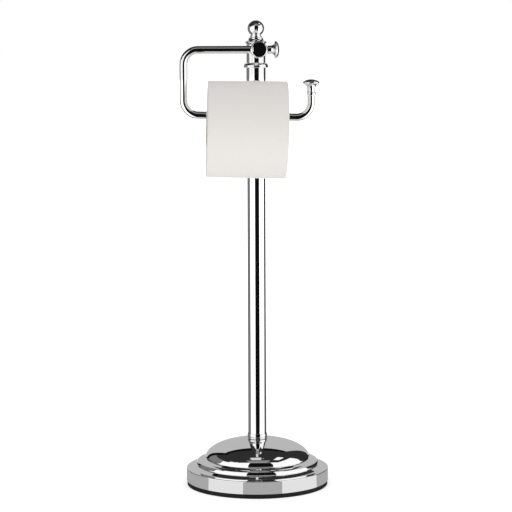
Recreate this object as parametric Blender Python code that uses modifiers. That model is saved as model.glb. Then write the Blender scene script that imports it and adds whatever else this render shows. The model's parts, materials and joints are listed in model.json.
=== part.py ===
# Freestanding toilet paper holder: a weighted three-tier base, a slim pole, a turned head
# with a ball finial, and a bent arm that carries the roll in front of the pole.
# Units are metres, +Z is up, and the origin is the centre of the base's underside.
# The viewer looks along +Y, so the arm stands in front of the pole, towards -Y.

import math

import bmesh
import bpy
from mathutils import Euler, Matrix, Vector

# Fits and cutters
FIT = 0.0003
OVERRUN = 0.003
WELD_DISTANCE = 0.00001

# Facets round one full turn, and along one bend
BASE_SEGMENTS = 48
WEIGHT_SEGMENTS = 40
POLE_SEGMENTS = 32
KNOB_SEGMENTS = 24
ARM_BORE_SEGMENTS = 26
GRUB_BORE_SEGMENTS = 18
SCREW_SEGMENTS = 16
ROLL_SEGMENTS = 60
ROD_BEVEL_RESOLUTION = 5
BEND_STEPS = 8
EDGE_ARC_STEPS = 4
SHARP_ANGLE = math.radians(32)

# Pressed shell of the base: rim with a flat shoulder, rounded tier and dome
SHELL_WALL = 0.0012
RIM_RADIUS = 0.0915
RIM_HEIGHT = 0.0168
RIM_EDGE_RUN = 0.0008
RIM_EDGE_RISE = 0.0005
RIM_LIP = 0.0038
SHOULDER_RUN = 0.0139
TIER_RISE = 0.0105
TIER_ROUND_RUN = 0.0051
TIER_RUN = 0.0105
DOME_UNDERCUT = 0.0005
DOME_UNDERCUT_RISE = 0.0007
DOME_RISE = 0.0262
LANDING_RADIUS = 0.0132
TIER_ARC_STEPS = 5
DOME_ARC_STEPS = 9

# Soft pad under the base
PAD_INSET = 0.0022
PAD_THICKNESS = 0.0053
PAD_EDGE = 0.0008

# Cast weight inside the shell
WEIGHT_SIDE_GAP = 0.0007
WEIGHT_THICKNESS = 0.0120
WEIGHT_EDGE = 0.0015
HUB_FOOT_RADIUS = 0.0300
HUB_TOP_RADIUS = 0.0120
HUB_SHOULDER_RADIUS = 0.0160
HUB_SHOULDER_DROP = 0.0090

# Bolt and washers that hold the pole to the base
BOLT_RADIUS = 0.0040
BOLT_HEAD_RADIUS = 0.0075
BOLT_HEAD_HEIGHT = 0.0053
BOLT_HEAD_SIDES = 6
BOLT_ENGAGEMENT = 0.0180
WASHER_RADIUS = 0.0080
WASHER_THICKNESS = 0.0016
LOCK_WASHER_RADIUS = 0.0064
LOCK_WASHER_THICKNESS = 0.0020
LOCK_WASHER_SPLIT = 0.0012
COUNTERBORE_CLEARANCE = 0.0020

# Pole and what it holds
POLE_RADIUS = 0.01175
POLE_WALL = 0.0012
POLE_LENGTH = 0.4439
INSERT_LENGTH = 0.0220
INSERT_EDGE = 0.0006

# Trim ring round the foot of the pole
RING_BEAD_RADIUS = 0.0130
RING_BEAD_HEIGHT = 0.0020
RING_GROOVE_RADIUS = 0.0124
RING_FLARE_RADIUS = 0.0128
RING_LIP_RADIUS = 0.0123
RING_FLARE_HEIGHT = 0.0046
RING_FLARE_SHARE = 0.3

# Turned head above the pole
SLEEVE_RADIUS = 0.0123
SLEEVE_LENGTH = 0.0354
SLEEVE_EDGE = 0.0006
SPIGOT_LENGTH = 0.0120
FLANGE_RADIUS = 0.0156
FLANGE_HEIGHT = 0.0055
FLANGE_LIP = 0.0016
FLANGE_TOP_RADIUS = 0.0128
BODY_RADIUS = 0.0121
BODY_HEIGHT = 0.0234
BODY_EDGE = 0.0004
CAP_RADIUS = 0.0138
CAP_FOOT_RADIUS = 0.0119
CAP_TOP_RADIUS = 0.0091
CAP_SHOULDER_RISE = 0.0026
CAP_HEIGHT = 0.0083
CAP_SHOULDER_ROUND = 0.0009
CAP_HOLLOW = 0.0006

# Finial: ring, neck and ball
FINIAL_RING_RADIUS = 0.0080
FINIAL_RING_HEIGHT = 0.0020
FINIAL_NECK_RADIUS = 0.0064
FINIAL_NECK_HEIGHT = 0.0034
BALL_RADIUS = 0.0107
BALL_HALF_HEIGHT = 0.0103
BALL_ARC_STEPS = 9

# Studs inside the head
HEAD_STUD_RADIUS = 0.0040
HEAD_STUD_IN_BODY = 0.0110
STUD_TIP_GAP = 0.0005
FINIAL_STUD_RADIUS = 0.0025
FINIAL_STUD_IN_BODY = 0.0072
FINIAL_STUD_IN_BALL = 0.0100
POST_STUD_RADIUS = 0.0030
POST_STUD_IN_BODY = 0.0050
POST_STUD_IN_POST = 0.0100

# Post that carries the arm in front of the pole, turned about its own length
POST_DROP = 0.0075
POST_RADIUS = 0.0050
POST_FOOT_RADIUS = 0.0065
POST_FOOT_LENGTH = 0.0030
POST_FOOT_TAPER = 0.0030
BOSS_RADIUS = 0.01035
BOSS_HALF_LENGTH = 0.0095
BOSS_FACE_CURVE = 0.0330
BOSS_FACE_RADIUS = 0.0083
BOSS_EDGE_DEPTH = 0.0024
BOSS_BACK_ROUND = 0.0045
BOSS_COVE = 0.0030
BOSS_ARC_STEPS = 3
GRUB_RADIUS = 0.0025
GRUB_INSET = 0.0006

# Bent arm
ROD_RADIUS = 0.0047
ROD_STUB_RADIUS = 0.0030
ROD_SHOULDER = 0.0002
STUB_LENGTH = 0.0085
ARM_LEFT = 0.0932
ARM_RIGHT = 0.0645
LOWER_RUN_DROP = 0.0817
ROD_SLOPE = math.radians(1.5)
BEND_RADIUS = 0.0180
KNOB_ON_BOSS_GAP = 0.0003

# Trumpet knob at the end of the top run
KNOB_LIP_RADIUS = 0.0106
KNOB_SPINDLE_RADIUS = 0.0050
TOP_KNOB_SPINDLE = 0.0036
TOP_KNOB_FLARE = 0.0068
KNOB_LIP_THICKNESS = 0.0012
KNOB_FACE_RISE = 0.0026
KNOB_FLARE_STEPS = 5
KNOB_FACE_STEPS = 4

# Trumpet knob on the upturned end, with a bead at its foot
END_KNOB_BEAD_RADIUS = 0.0058
END_KNOB_BEAD_HEIGHT = 0.0046
END_KNOB_BEAD_STEPS = 4
END_KNOB_SPINDLE = 0.0028
END_KNOB_FLARE = 0.0086
END_KNOB_RISE = 0.0255

# Toilet roll
CORE_BORE_RADIUS = 0.0210
CORE_WALL = 0.0010
CORE_WIDTH = 0.0990
CORE_PROUD = 0.0002
PAPER_RADIUS = 0.0605
ROLL_OFFSET = 0.0155
ROLL_TO_SLEEVE_GAP = 0.0054
LOOSE_END_RISE = 0.0018
LOOSE_END_SPAN = math.radians(70)
LOOSE_END_ANGLE = math.radians(-15)

# Radii of the base, worked out inwards from the rim
TIER_RADIUS = RIM_RADIUS - SHOULDER_RUN
DOME_RADIUS = TIER_RADIUS - TIER_RUN
PAD_RADIUS = RIM_RADIUS - PAD_INSET
WEIGHT_RADIUS = RIM_RADIUS - RIM_LIP - WEIGHT_SIDE_GAP

# Heights worked out from the stack, bottom to top
SHELL_BOTTOM = PAD_THICKNESS + FIT
SHOULDER_Z = SHELL_BOTTOM + RIM_HEIGHT + RIM_EDGE_RISE
TIER_TOP_Z = SHOULDER_Z + TIER_RISE
DOME_CENTRE_Z = TIER_TOP_Z + DOME_UNDERCUT_RISE
LANDING_ANGLE = math.acos(LANDING_RADIUS / DOME_RADIUS)
LANDING_Z = DOME_CENTRE_Z + DOME_RISE * math.sin(LANDING_ANGLE)
POLE_BOTTOM = LANDING_Z + FIT
POLE_TOP = POLE_BOTTOM + POLE_LENGTH
SLEEVE_BOTTOM = POLE_TOP + FIT
FLANGE_BOTTOM = SLEEVE_BOTTOM + SLEEVE_LENGTH + FIT
BODY_BOTTOM = FLANGE_BOTTOM + FLANGE_HEIGHT + FIT
BODY_TOP = BODY_BOTTOM + BODY_HEIGHT
CAP_BOTTOM = BODY_TOP + FIT
FINIAL_BOTTOM = CAP_BOTTOM + CAP_HEIGHT + FIT
BALL_FOOT_ANGLE = math.acos(FINIAL_NECK_RADIUS / BALL_RADIUS)
NECK_TOP_Z = FINIAL_BOTTOM + FINIAL_NECK_HEIGHT
BALL_CENTRE_Z = NECK_TOP_Z + BALL_HALF_HEIGHT * math.sin(BALL_FOOT_ANGLE)
ARM_Z = BODY_TOP - POST_DROP

# Bores worked out from what passes through them
BOLT_BORE = BOLT_RADIUS + FIT
HEAD_STUD_BORE = HEAD_STUD_RADIUS + FIT
FINIAL_STUD_BORE = FINIAL_STUD_RADIUS + FIT
POST_STUD_BORE = POST_STUD_RADIUS + FIT
GRUB_BORE = GRUB_RADIUS + FIT
STUB_BORE = ROD_STUB_RADIUS + FIT
TUBE_BORE = POLE_RADIUS - POLE_WALL
PLUG_RADIUS = TUBE_BORE - FIT

# Bolt stack under the weight, top down
COUNTERBORE_TOP = SHELL_BOTTOM + COUNTERBORE_CLEARANCE + BOLT_HEAD_HEIGHT + FIT
COUNTERBORE_TOP += LOCK_WASHER_THICKNESS + FIT + WASHER_THICKNESS + FIT
WASHER_BOTTOM = COUNTERBORE_TOP - FIT - WASHER_THICKNESS
LOCK_WASHER_BOTTOM = WASHER_BOTTOM - FIT - LOCK_WASHER_THICKNESS
BOLT_HEAD_TOP = LOCK_WASHER_BOTTOM - FIT

# Seat of the post on the round head body
POST_SEAT_RADIUS = POST_FOOT_RADIUS + FIT
POST_SEAT = math.sqrt(BODY_RADIUS ** 2 - POST_SEAT_RADIUS ** 2)
POST_START = POST_SEAT + FIT
BOSS_FACE_DROP = BOSS_FACE_CURVE - math.sqrt(BOSS_FACE_CURVE ** 2 - BOSS_FACE_RADIUS ** 2)

# Arm and roll, measured from the boss
ARM_REACH = SLEEVE_RADIUS + ROLL_TO_SLEEVE_GAP + LOOSE_END_RISE + PAPER_RADIUS
LOWER_RUN_Z = ARM_Z - LOWER_RUN_DROP
KNOB_START_X = BOSS_RADIUS + KNOB_ON_BOSS_GAP
END_KNOB_BOTTOM = LOWER_RUN_Z + END_KNOB_RISE - FIT
ROLL_AXIS_Z = LOWER_RUN_Z + (ROD_RADIUS + FIT - CORE_BORE_RADIUS) / math.cos(ROD_SLOPE)
PAPER_BORE_RADIUS = CORE_BORE_RADIUS + CORE_WALL + FIT
PAPER_WIDTH = CORE_WIDTH - 2 * CORE_PROUD

QUARTER = math.pi / 2
FULL_TURN = 2 * math.pi
TOWARDS_FRONT = Euler((QUARTER, 0, 0))
TOWARDS_RIGHT = Euler((0, QUARTER, 0))
UPRIGHT = Euler((0, 0, 0))

CHROME = ("polished_chrome", (0.90, 0.90, 0.91), 0.05, 1.0)
CAST_IRON = ("cast_iron", (0.09, 0.09, 0.10), 0.65, 0.8)
ZINC_STEEL = ("zinc_steel", (0.62, 0.63, 0.65), 0.35, 1.0)
TURNED_BRASS = ("turned_brass", (0.78, 0.60, 0.30), 0.30, 1.0)
BLACK_FOAM = ("black_foam", (0.02, 0.02, 0.02), 0.90, 0.0)
CARDBOARD = ("grey_cardboard", (0.56, 0.50, 0.43), 0.85, 0.0)
TISSUE = ("white_tissue", (0.92, 0.90, 0.87), 0.95, 0.0)


def clear_scene():
    """Remove whatever the file opened with."""
    for item in list(bpy.data.objects):
        bpy.data.objects.remove(item, do_unlink=True)


def new_collection(name):
    """Make a collection under the scene."""
    collection = bpy.data.collections.new(name)
    bpy.context.scene.collection.children.link(collection)
    return collection


def make_material(name, finish):
    """Make a Principled material for one piece from a named finish."""
    label, colour, roughness, metallic = finish
    material = bpy.data.materials.new(f"{name}_{label}")
    material.use_nodes = True
    shader = material.node_tree.nodes["Principled BSDF"]
    shader.inputs["Base Color"].default_value = (*colour, 1)
    shader.inputs["Roughness"].default_value = roughness
    shader.inputs["Metallic"].default_value = metallic
    material.diffuse_color = (*colour, 1)
    return material


def arc(centre, radii, start, end, steps):
    """Points along an elliptical arc in the (radius, height) plane."""
    turns = [start + (end - start) * step / steps for step in range(steps + 1)]
    return [
        (centre[0] + radii[0] * math.cos(turn), centre[1] + radii[1] * math.sin(turn))
        for turn in turns
    ]


def place(piece, spot, turn):
    """Put an object at its spot, turned as given."""
    piece.location = spot
    piece.rotation_euler = turn


def turned(name, outline, segments, hollow=False):
    """Make an object turned about its own Z axis from an outline of (radius, height).

    The outline runs down the outer side. A hollow one comes back up the bore and closes.
    """
    mesh = bpy.data.meshes.new(name)
    corners = [(radius, 0, height) for radius, height in outline]
    links = [(index, index + 1) for index in range(len(corners) - 1)]
    if hollow:
        links.append((len(corners) - 1, 0))
    mesh.from_pydata(corners, links, [])
    piece = bpy.data.objects.new(name, mesh)
    screw = piece.modifiers.new("Turn", "SCREW")
    screw.axis = "Z"
    screw.angle = FULL_TURN
    screw.steps = segments
    screw.render_steps = segments
    screw.use_merge_vertices = True
    screw.merge_threshold = WELD_DISTANCE
    return piece


def plain_round(name, radius, length, segments, edge=0):
    """Make a solid round bar that stands on its lower end, with chamfered edges."""
    outline = [(0, length), (radius - edge, length)]
    if edge:
        outline += [(radius, length - edge), (radius, edge)]
    outline += [(radius - edge, 0), (0, 0)]
    return turned(name, outline, segments)


def round_ring(name, outer, inner, length, segments):
    """Make a plain ring that stands on its lower face."""
    outline = [(outer, length), (outer, 0), (inner, 0), (inner, length)]
    return turned(name, outline, segments, hollow=True)


def settle(piece):
    """Swap an object's mesh for its evaluated one, so that its shading can be set."""
    bpy.context.view_layer.update()
    depsgraph = bpy.context.evaluated_depsgraph_get()
    mesh = bpy.data.meshes.new_from_object(piece.evaluated_get(depsgraph))
    piece.modifiers.clear()
    old_mesh = piece.data
    piece.data = mesh
    bpy.data.meshes.remove(old_mesh)
    mesh.name = piece.name
    mesh.shade_smooth()
    mesh.set_sharp_from_angle(angle=SHARP_ANGLE)


def curve_to_mesh(curve_object):
    """Swap a curve object for a mesh object of the same name, with its caps welded."""
    bpy.context.view_layer.update()
    depsgraph = bpy.context.evaluated_depsgraph_get()
    mesh = bpy.data.meshes.new_from_object(curve_object.evaluated_get(depsgraph))
    shape = bmesh.new()
    shape.from_mesh(mesh)
    bmesh.ops.remove_doubles(shape, verts=shape.verts, dist=WELD_DISTANCE)
    shape.to_mesh(mesh)
    shape.free()
    name = curve_object.name
    world = curve_object.matrix_world.copy()
    bpy.data.objects.remove(curve_object, do_unlink=True)
    piece = bpy.data.objects.new(name, mesh)
    piece.matrix_world = world
    mesh.name = name
    mesh.shade_smooth()
    mesh.set_sharp_from_angle(angle=SHARP_ANGLE)
    return piece


class Model:
    """The collections and the finished pieces of the holder."""

    def __init__(self):
        self.parts = new_collection("freestanding_toilet_paper_holder")
        self.cutters = new_collection("cutters")

    def add(self, piece, finish, parent=None):
        """Give a finished piece its material and put it with the parts."""
        self.parts.objects.link(piece)
        if piece.modifiers:
            settle(piece)
        piece.data.materials.clear()
        piece.data.materials.append(make_material(piece.name, finish))
        if parent:
            piece.parent = parent
        return piece

    def bore(self, piece, name, radius, length, spot, turn, segments=SCREW_SEGMENTS):
        """Cut a round hole that starts at a spot and runs along the turned Z axis."""
        cutter = plain_round(name, radius, length, segments)
        place(cutter, spot, turn)
        self.combine(piece, cutter, "DIFFERENCE")

    def combine(self, piece, guide, operation):
        """Cut a piece with another object, or join it on, and keep that one as a hidden guide."""
        self.cutters.objects.link(guide)
        guide.hide_render = True
        guide.display_type = "WIRE"
        boolean = piece.modifiers.new(guide.name, "BOOLEAN")
        boolean.operation = operation
        boolean.solver = "EXACT"
        boolean.object = guide


def add_base_pad(model):
    """The foam pad that the holder rests on, with a small chamfer all round."""
    pad = plain_round("base_pad", PAD_RADIUS, PAD_THICKNESS, BASE_SEGMENTS, PAD_EDGE)
    model.add(pad, BLACK_FOAM)


def shell_outline():
    """The outer face of the base shell, from the bolt hole down to the lip under the rim."""
    wall_top = SHELL_BOTTOM + RIM_HEIGHT
    tier_centre = (TIER_RADIUS - TIER_ROUND_RUN, SHOULDER_Z)
    dome = arc((0, DOME_CENTRE_Z), (DOME_RADIUS, DOME_RISE), LANDING_ANGLE, 0, DOME_ARC_STEPS)
    crease = [(DOME_RADIUS - DOME_UNDERCUT, TIER_TOP_Z)]
    tier = arc(tier_centre, (TIER_ROUND_RUN, TIER_RISE), QUARTER, 0, TIER_ARC_STEPS)
    rim = [
        (RIM_RADIUS - RIM_EDGE_RUN, SHOULDER_Z),
        (RIM_RADIUS, wall_top),
        (RIM_RADIUS, SHELL_BOTTOM),
        (RIM_RADIUS - RIM_LIP, SHELL_BOTTOM),
    ]
    return [(BOLT_BORE, LANDING_Z)] + dome + crease + tier + rim


def add_base_shell(model):
    """The chromed pressing: an open turned surface, thickened inwards."""
    shell = turned("base_shell", shell_outline(), BASE_SEGMENTS)
    wall = shell.modifiers.new("Wall", "SOLIDIFY")
    wall.thickness = SHELL_WALL
    wall.offset = -1
    wall.use_even_offset = True
    model.add(shell, CHROME)


def add_base_weight(model):
    """The cast disc with a hub that backs the shell under the pole."""
    disc_top = SHELL_BOTTOM + WEIGHT_THICKNESS
    hub_top = LANDING_Z - SHELL_WALL - FIT
    shoulder = hub_top - HUB_SHOULDER_DROP
    outline = [
        (HUB_TOP_RADIUS, hub_top),
        (HUB_SHOULDER_RADIUS, shoulder),
        (HUB_FOOT_RADIUS, disc_top),
        (WEIGHT_RADIUS - WEIGHT_EDGE, disc_top),
        (WEIGHT_RADIUS, disc_top - WEIGHT_EDGE),
        (WEIGHT_RADIUS, SHELL_BOTTOM),
        (WASHER_RADIUS + FIT, SHELL_BOTTOM),
        (WASHER_RADIUS + FIT, COUNTERBORE_TOP),
        (BOLT_BORE, COUNTERBORE_TOP),
        (BOLT_BORE, hub_top),
    ]
    model.add(turned("base_weight", outline, WEIGHT_SEGMENTS, hollow=True), CAST_IRON)


def add_base_fasteners(model):
    """The hexagon bolt, the split lock washer and the flat washer, from below upwards."""
    bolt = plain_round("base_bolt", BOLT_HEAD_RADIUS, BOLT_HEAD_HEIGHT, BOLT_HEAD_SIDES)
    place(bolt, (0, 0, BOLT_HEAD_TOP - BOLT_HEAD_HEIGHT), UPRIGHT)
    bolt_tip = POLE_BOTTOM + BOLT_ENGAGEMENT
    shank_start = BOLT_HEAD_TOP - BOLT_HEAD_HEIGHT / 2
    shank = plain_round("bolt_shank", BOLT_RADIUS, bolt_tip - shank_start, SCREW_SEGMENTS)
    place(shank, (0, 0, shank_start), UPRIGHT)
    model.combine(bolt, shank, "UNION")
    model.add(bolt, ZINC_STEEL)

    inner = BOLT_RADIUS + FIT
    thickness = LOCK_WASHER_THICKNESS
    lock = round_ring("base_lock_washer", LOCK_WASHER_RADIUS, inner, thickness, SCREW_SEGMENTS)
    place(lock, (0, 0, LOCK_WASHER_BOTTOM), UPRIGHT)
    reach = LOCK_WASHER_RADIUS + OVERRUN
    slot = new_box("lock_washer_slot", (reach, LOCK_WASHER_SPLIT, thickness + OVERRUN))
    place(slot, (reach / 2, 0, LOCK_WASHER_BOTTOM + thickness / 2), UPRIGHT)
    model.combine(lock, slot, "DIFFERENCE")
    model.add(lock, ZINC_STEEL)

    washer = round_ring("base_washer", WASHER_RADIUS, inner, WASHER_THICKNESS, SCREW_SEGMENTS)
    place(washer, (0, 0, WASHER_BOTTOM), UPRIGHT)
    model.add(washer, ZINC_STEEL)


def new_box(name, size):
    """Make a box centred on its origin."""
    mesh = bpy.data.meshes.new(name)
    shape = bmesh.new()
    bmesh.ops.create_cube(shape, size=1, matrix=Matrix.Diagonal((*size, 1)))
    shape.to_mesh(mesh)
    shape.free()
    return bpy.data.objects.new(name, mesh)


def add_foot_ring(model):
    """The trim ring round the foot of the pole: a bead, a groove and a soft flare."""
    bead_top = LANDING_Z + FIT + RING_BEAD_HEIGHT
    bore = POLE_RADIUS + FIT
    bead_half = RING_BEAD_HEIGHT / 2
    bead_run = RING_BEAD_RADIUS - RING_GROOVE_RADIUS
    bead_centre = (RING_GROOVE_RADIUS, bead_top - bead_half)
    outline = [
        (RING_LIP_RADIUS, bead_top + RING_FLARE_HEIGHT),
        (RING_FLARE_RADIUS, bead_top + RING_FLARE_HEIGHT * RING_FLARE_SHARE),
    ]
    outline += arc(bead_centre, (bead_run, bead_half), QUARTER, -QUARTER, EDGE_ARC_STEPS)
    outline += [(bore, LANDING_Z + FIT), (bore, bead_top + RING_FLARE_HEIGHT)]
    model.add(turned("pole_foot_ring", outline, POLE_SEGMENTS, hollow=True), CHROME)


def add_pole(model):
    """The tube and the threaded plugs pressed into its two ends."""
    tube = round_ring("pole_tube", POLE_RADIUS, TUBE_BORE, POLE_LENGTH, POLE_SEGMENTS)
    place(tube, (0, 0, POLE_BOTTOM), UPRIGHT)
    model.add(tube, CHROME)
    upper_bottom = POLE_TOP - SPIGOT_LENGTH - FIT - INSERT_LENGTH
    add_insert(model, "pole_lower_insert", POLE_BOTTOM, BOLT_BORE)
    add_insert(model, "pole_upper_insert", upper_bottom, HEAD_STUD_BORE)


def add_insert(model, name, bottom, bore):
    """A round plug with chamfered ends and a bore right through it."""
    outline = [
        (PLUG_RADIUS - INSERT_EDGE, INSERT_LENGTH),
        (PLUG_RADIUS, INSERT_LENGTH - INSERT_EDGE),
        (PLUG_RADIUS, INSERT_EDGE),
        (PLUG_RADIUS - INSERT_EDGE, 0),
        (bore, 0),
        (bore, INSERT_LENGTH),
    ]
    plug = turned(name, outline, POLE_SEGMENTS, hollow=True)
    place(plug, (0, 0, bottom), UPRIGHT)
    model.add(plug, TURNED_BRASS)


def add_head_sleeve(model):
    """The ferrule over the pole's top, with a spigot that centres it in the tube."""
    top = SLEEVE_BOTTOM + SLEEVE_LENGTH
    spigot_bottom = SLEEVE_BOTTOM - SPIGOT_LENGTH
    outline = [
        (SLEEVE_RADIUS, top),
        (SLEEVE_RADIUS, SLEEVE_BOTTOM + SLEEVE_EDGE),
        (SLEEVE_RADIUS - SLEEVE_EDGE, SLEEVE_BOTTOM),
        (PLUG_RADIUS, SLEEVE_BOTTOM),
        (PLUG_RADIUS, spigot_bottom),
        (HEAD_STUD_BORE, spigot_bottom),
        (HEAD_STUD_BORE, top),
    ]
    model.add(turned("head_sleeve", outline, POLE_SEGMENTS, hollow=True), CHROME)


def add_head_flange(model):
    """The collar under the head body: flat below, with a top that slopes down and out."""
    top = FLANGE_BOTTOM + FLANGE_HEIGHT
    lip_top = FLANGE_BOTTOM + FLANGE_LIP
    slope = (FLANGE_RADIUS - FLANGE_TOP_RADIUS, top - lip_top)
    outline = arc((FLANGE_TOP_RADIUS, lip_top), slope, QUARTER, 0, EDGE_ARC_STEPS)
    outline += [(FLANGE_RADIUS, FLANGE_BOTTOM)]
    outline += [(HEAD_STUD_BORE, FLANGE_BOTTOM), (HEAD_STUD_BORE, top)]
    model.add(turned("head_flange", outline, POLE_SEGMENTS, hollow=True), CHROME)


def add_head_body(model):
    """The drum that the post screws into, bored from below, from above and from the front."""
    body = plain_round("head_body", BODY_RADIUS, BODY_HEIGHT, POLE_SEGMENTS, BODY_EDGE)
    place(body, (0, 0, BODY_BOTTOM), UPRIGHT)
    below = HEAD_STUD_IN_BODY + STUD_TIP_GAP + OVERRUN
    model.bore(body, "head_stud_bore", HEAD_STUD_BORE, below, (0, 0, BODY_BOTTOM - OVERRUN), UPRIGHT)
    above = FINIAL_STUD_IN_BODY + STUD_TIP_GAP
    spot = (0, 0, BODY_TOP - above)
    model.bore(body, "finial_stud_bore", FINIAL_STUD_BORE, above + OVERRUN, spot, UPRIGHT)
    stud_end = POST_SEAT - POST_STUD_IN_BODY - STUD_TIP_GAP
    depth = BODY_RADIUS - stud_end + OVERRUN
    spot = (0, -stud_end, ARM_Z)
    model.bore(body, "post_stud_bore", POST_STUD_BORE, depth, spot, TOWARDS_FRONT)
    depth = BODY_RADIUS - POST_SEAT + OVERRUN
    spot = (0, -POST_SEAT, ARM_Z)
    model.bore(body, "post_seat", POST_SEAT_RADIUS, depth, spot, TOWARDS_FRONT, KNOB_SEGMENTS)
    model.add(body, CHROME)


def add_head_cap(model):
    """The cap over the head body: a rounded shoulder under a slightly hollow cone."""
    top = CAP_BOTTOM + CAP_HEIGHT
    shoulder = CAP_BOTTOM + CAP_SHOULDER_RISE
    mid_radius = (CAP_TOP_RADIUS + CAP_RADIUS - CAP_SHOULDER_ROUND) / 2 - CAP_HOLLOW
    mid_height = (top + shoulder + CAP_SHOULDER_ROUND) / 2
    centre = (CAP_RADIUS - CAP_SHOULDER_ROUND, shoulder)
    radii = (CAP_SHOULDER_ROUND, CAP_SHOULDER_ROUND)
    outline = [(CAP_TOP_RADIUS, top), (mid_radius, mid_height)]
    outline += arc(centre, radii, QUARTER, -QUARTER, EDGE_ARC_STEPS)
    outline += [(CAP_FOOT_RADIUS, CAP_BOTTOM)]
    outline += [(FINIAL_STUD_BORE, CAP_BOTTOM), (FINIAL_STUD_BORE, top)]
    model.add(turned("head_cap", outline, POLE_SEGMENTS, hollow=True), CHROME)


def add_finial(model):
    """The finial: a ball on a short neck that flares to a ring."""
    ball = arc((0, BALL_CENTRE_Z), (BALL_RADIUS, BALL_HALF_HEIGHT), QUARTER, -BALL_FOOT_ANGLE,
               BALL_ARC_STEPS)
    bore_top = FINIAL_BOTTOM + FINIAL_STUD_IN_BALL + STUD_TIP_GAP
    outline = ball
    outline += [
        (FINIAL_RING_RADIUS, FINIAL_BOTTOM + FINIAL_RING_HEIGHT),
        (FINIAL_RING_RADIUS, FINIAL_BOTTOM),
        (FINIAL_STUD_BORE, FINIAL_BOTTOM),
        (FINIAL_STUD_BORE, bore_top),
        (0, bore_top),
    ]
    model.add(turned("finial", outline, KNOB_SEGMENTS), CHROME)


def add_head_studs(model):
    """The threaded studs that hold the head together, plain round bars here."""
    bottom = POLE_TOP - SPIGOT_LENGTH - FIT - INSERT_LENGTH
    top = BODY_BOTTOM + HEAD_STUD_IN_BODY
    stud = plain_round("head_stud", HEAD_STUD_RADIUS, top - bottom, SCREW_SEGMENTS, INSERT_EDGE)
    place(stud, (0, 0, bottom), UPRIGHT)
    model.add(stud, ZINC_STEEL)
    bottom = BODY_TOP - FINIAL_STUD_IN_BODY
    length = FINIAL_BOTTOM + FINIAL_STUD_IN_BALL - bottom
    stud = plain_round("finial_stud", FINIAL_STUD_RADIUS, length, SCREW_SEGMENTS, INSERT_EDGE)
    place(stud, (0, 0, bottom), UPRIGHT)
    model.add(stud, ZINC_STEEL)
    start = POST_SEAT - POST_STUD_IN_BODY
    length = POST_START + POST_STUD_IN_POST - start
    stud = plain_round("post_stud", POST_STUD_RADIUS, length, SCREW_SEGMENTS, INSERT_EDGE)
    place(stud, (0, -start, ARM_Z), TOWARDS_FRONT)
    model.add(stud, ZINC_STEEL)


def post_outline():
    """The post's outline from its front face back to its foot, measured from the pole's axis."""
    front = ARM_REACH + BOSS_HALF_LENGTH
    back = ARM_REACH - BOSS_HALF_LENGTH
    edge_start = front - BOSS_FACE_DROP
    face_mid = BOSS_FACE_RADIUS / 2
    face_mid_drop = BOSS_FACE_CURVE - math.sqrt(BOSS_FACE_CURVE ** 2 - face_mid ** 2)
    edge_centre = (BOSS_FACE_RADIUS, edge_start - BOSS_EDGE_DEPTH)
    edge_radii = (BOSS_RADIUS - BOSS_FACE_RADIUS, BOSS_EDGE_DEPTH)
    back_centre = (BOSS_RADIUS - BOSS_BACK_ROUND, back + BOSS_BACK_ROUND)
    back_radii = (BOSS_BACK_ROUND, BOSS_BACK_ROUND)
    outline = [(0, front), (face_mid, front - face_mid_drop)]
    outline += arc(edge_centre, edge_radii, QUARTER, 0, BOSS_ARC_STEPS)
    outline += arc(back_centre, back_radii, 0, -QUARTER, BOSS_ARC_STEPS)[:-1]
    outline += [
        (POST_RADIUS, back - BOSS_COVE),
        (POST_RADIUS, POST_START + POST_FOOT_LENGTH + POST_FOOT_TAPER),
        (POST_FOOT_RADIUS, POST_START + POST_FOOT_LENGTH),
        (POST_FOOT_RADIUS, POST_START),
        (POST_STUD_BORE, POST_START),
        (POST_STUD_BORE, POST_START + POST_STUD_IN_POST + STUD_TIP_GAP),
        (0, POST_START + POST_STUD_IN_POST + STUD_TIP_GAP),
    ]
    return outline


def add_arm_post(model):
    """The post with its boss: turned as one, then cross bored for the arm and the screw."""
    post = turned("arm_post", post_outline(), KNOB_SEGMENTS)
    place(post, (0, 0, ARM_Z), TOWARDS_FRONT)
    reach = BOSS_RADIUS + OVERRUN
    spot = (-reach, -ARM_REACH, ARM_Z)
    bore = ROD_RADIUS + FIT
    model.bore(post, "arm_bore", bore, reach * 2, spot, TOWARDS_RIGHT, ARM_BORE_SEGMENTS)
    spot = (0, -ARM_REACH, ARM_Z - reach)
    model.bore(post, "grub_bore", GRUB_BORE, reach, spot, UPRIGHT, GRUB_BORE_SEGMENTS)
    model.add(post, CHROME)
    length = BOSS_RADIUS - GRUB_INSET - ROD_RADIUS - FIT
    screw = plain_round("arm_grub_screw", GRUB_RADIUS, length, SCREW_SEGMENTS)
    place(screw, (0, -ARM_REACH, ARM_Z - ROD_RADIUS - FIT - length), UPRIGHT)
    model.add(screw, ZINC_STEEL)


def rounded_route(corners, radius, steps):
    """A flat route through corners, each rounded by an arc of one radius."""
    route = [corners[0]]
    for before, corner, after in zip(corners, corners[1:], corners[2:]):
        inward = (before - corner).normalized()
        outward = (after - corner).normalized()
        half = inward.angle(outward) / 2
        centre = corner + (inward + outward).normalized() * (radius / math.sin(half))
        start = (corner + inward * (radius / math.tan(half)) - centre).normalized()
        end = (corner + outward * (radius / math.tan(half)) - centre).normalized()
        for step in range(steps + 1):
            route.append(centre + start.slerp(end, step / steps) * radius)
    route.append(corners[-1])
    return route


def lower_run_height(distance):
    """Height of the lower run's centre line at a distance along X from the roll's middle."""
    return LOWER_RUN_Z - (distance + ROLL_OFFSET) * math.tan(ROD_SLOPE)


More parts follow.
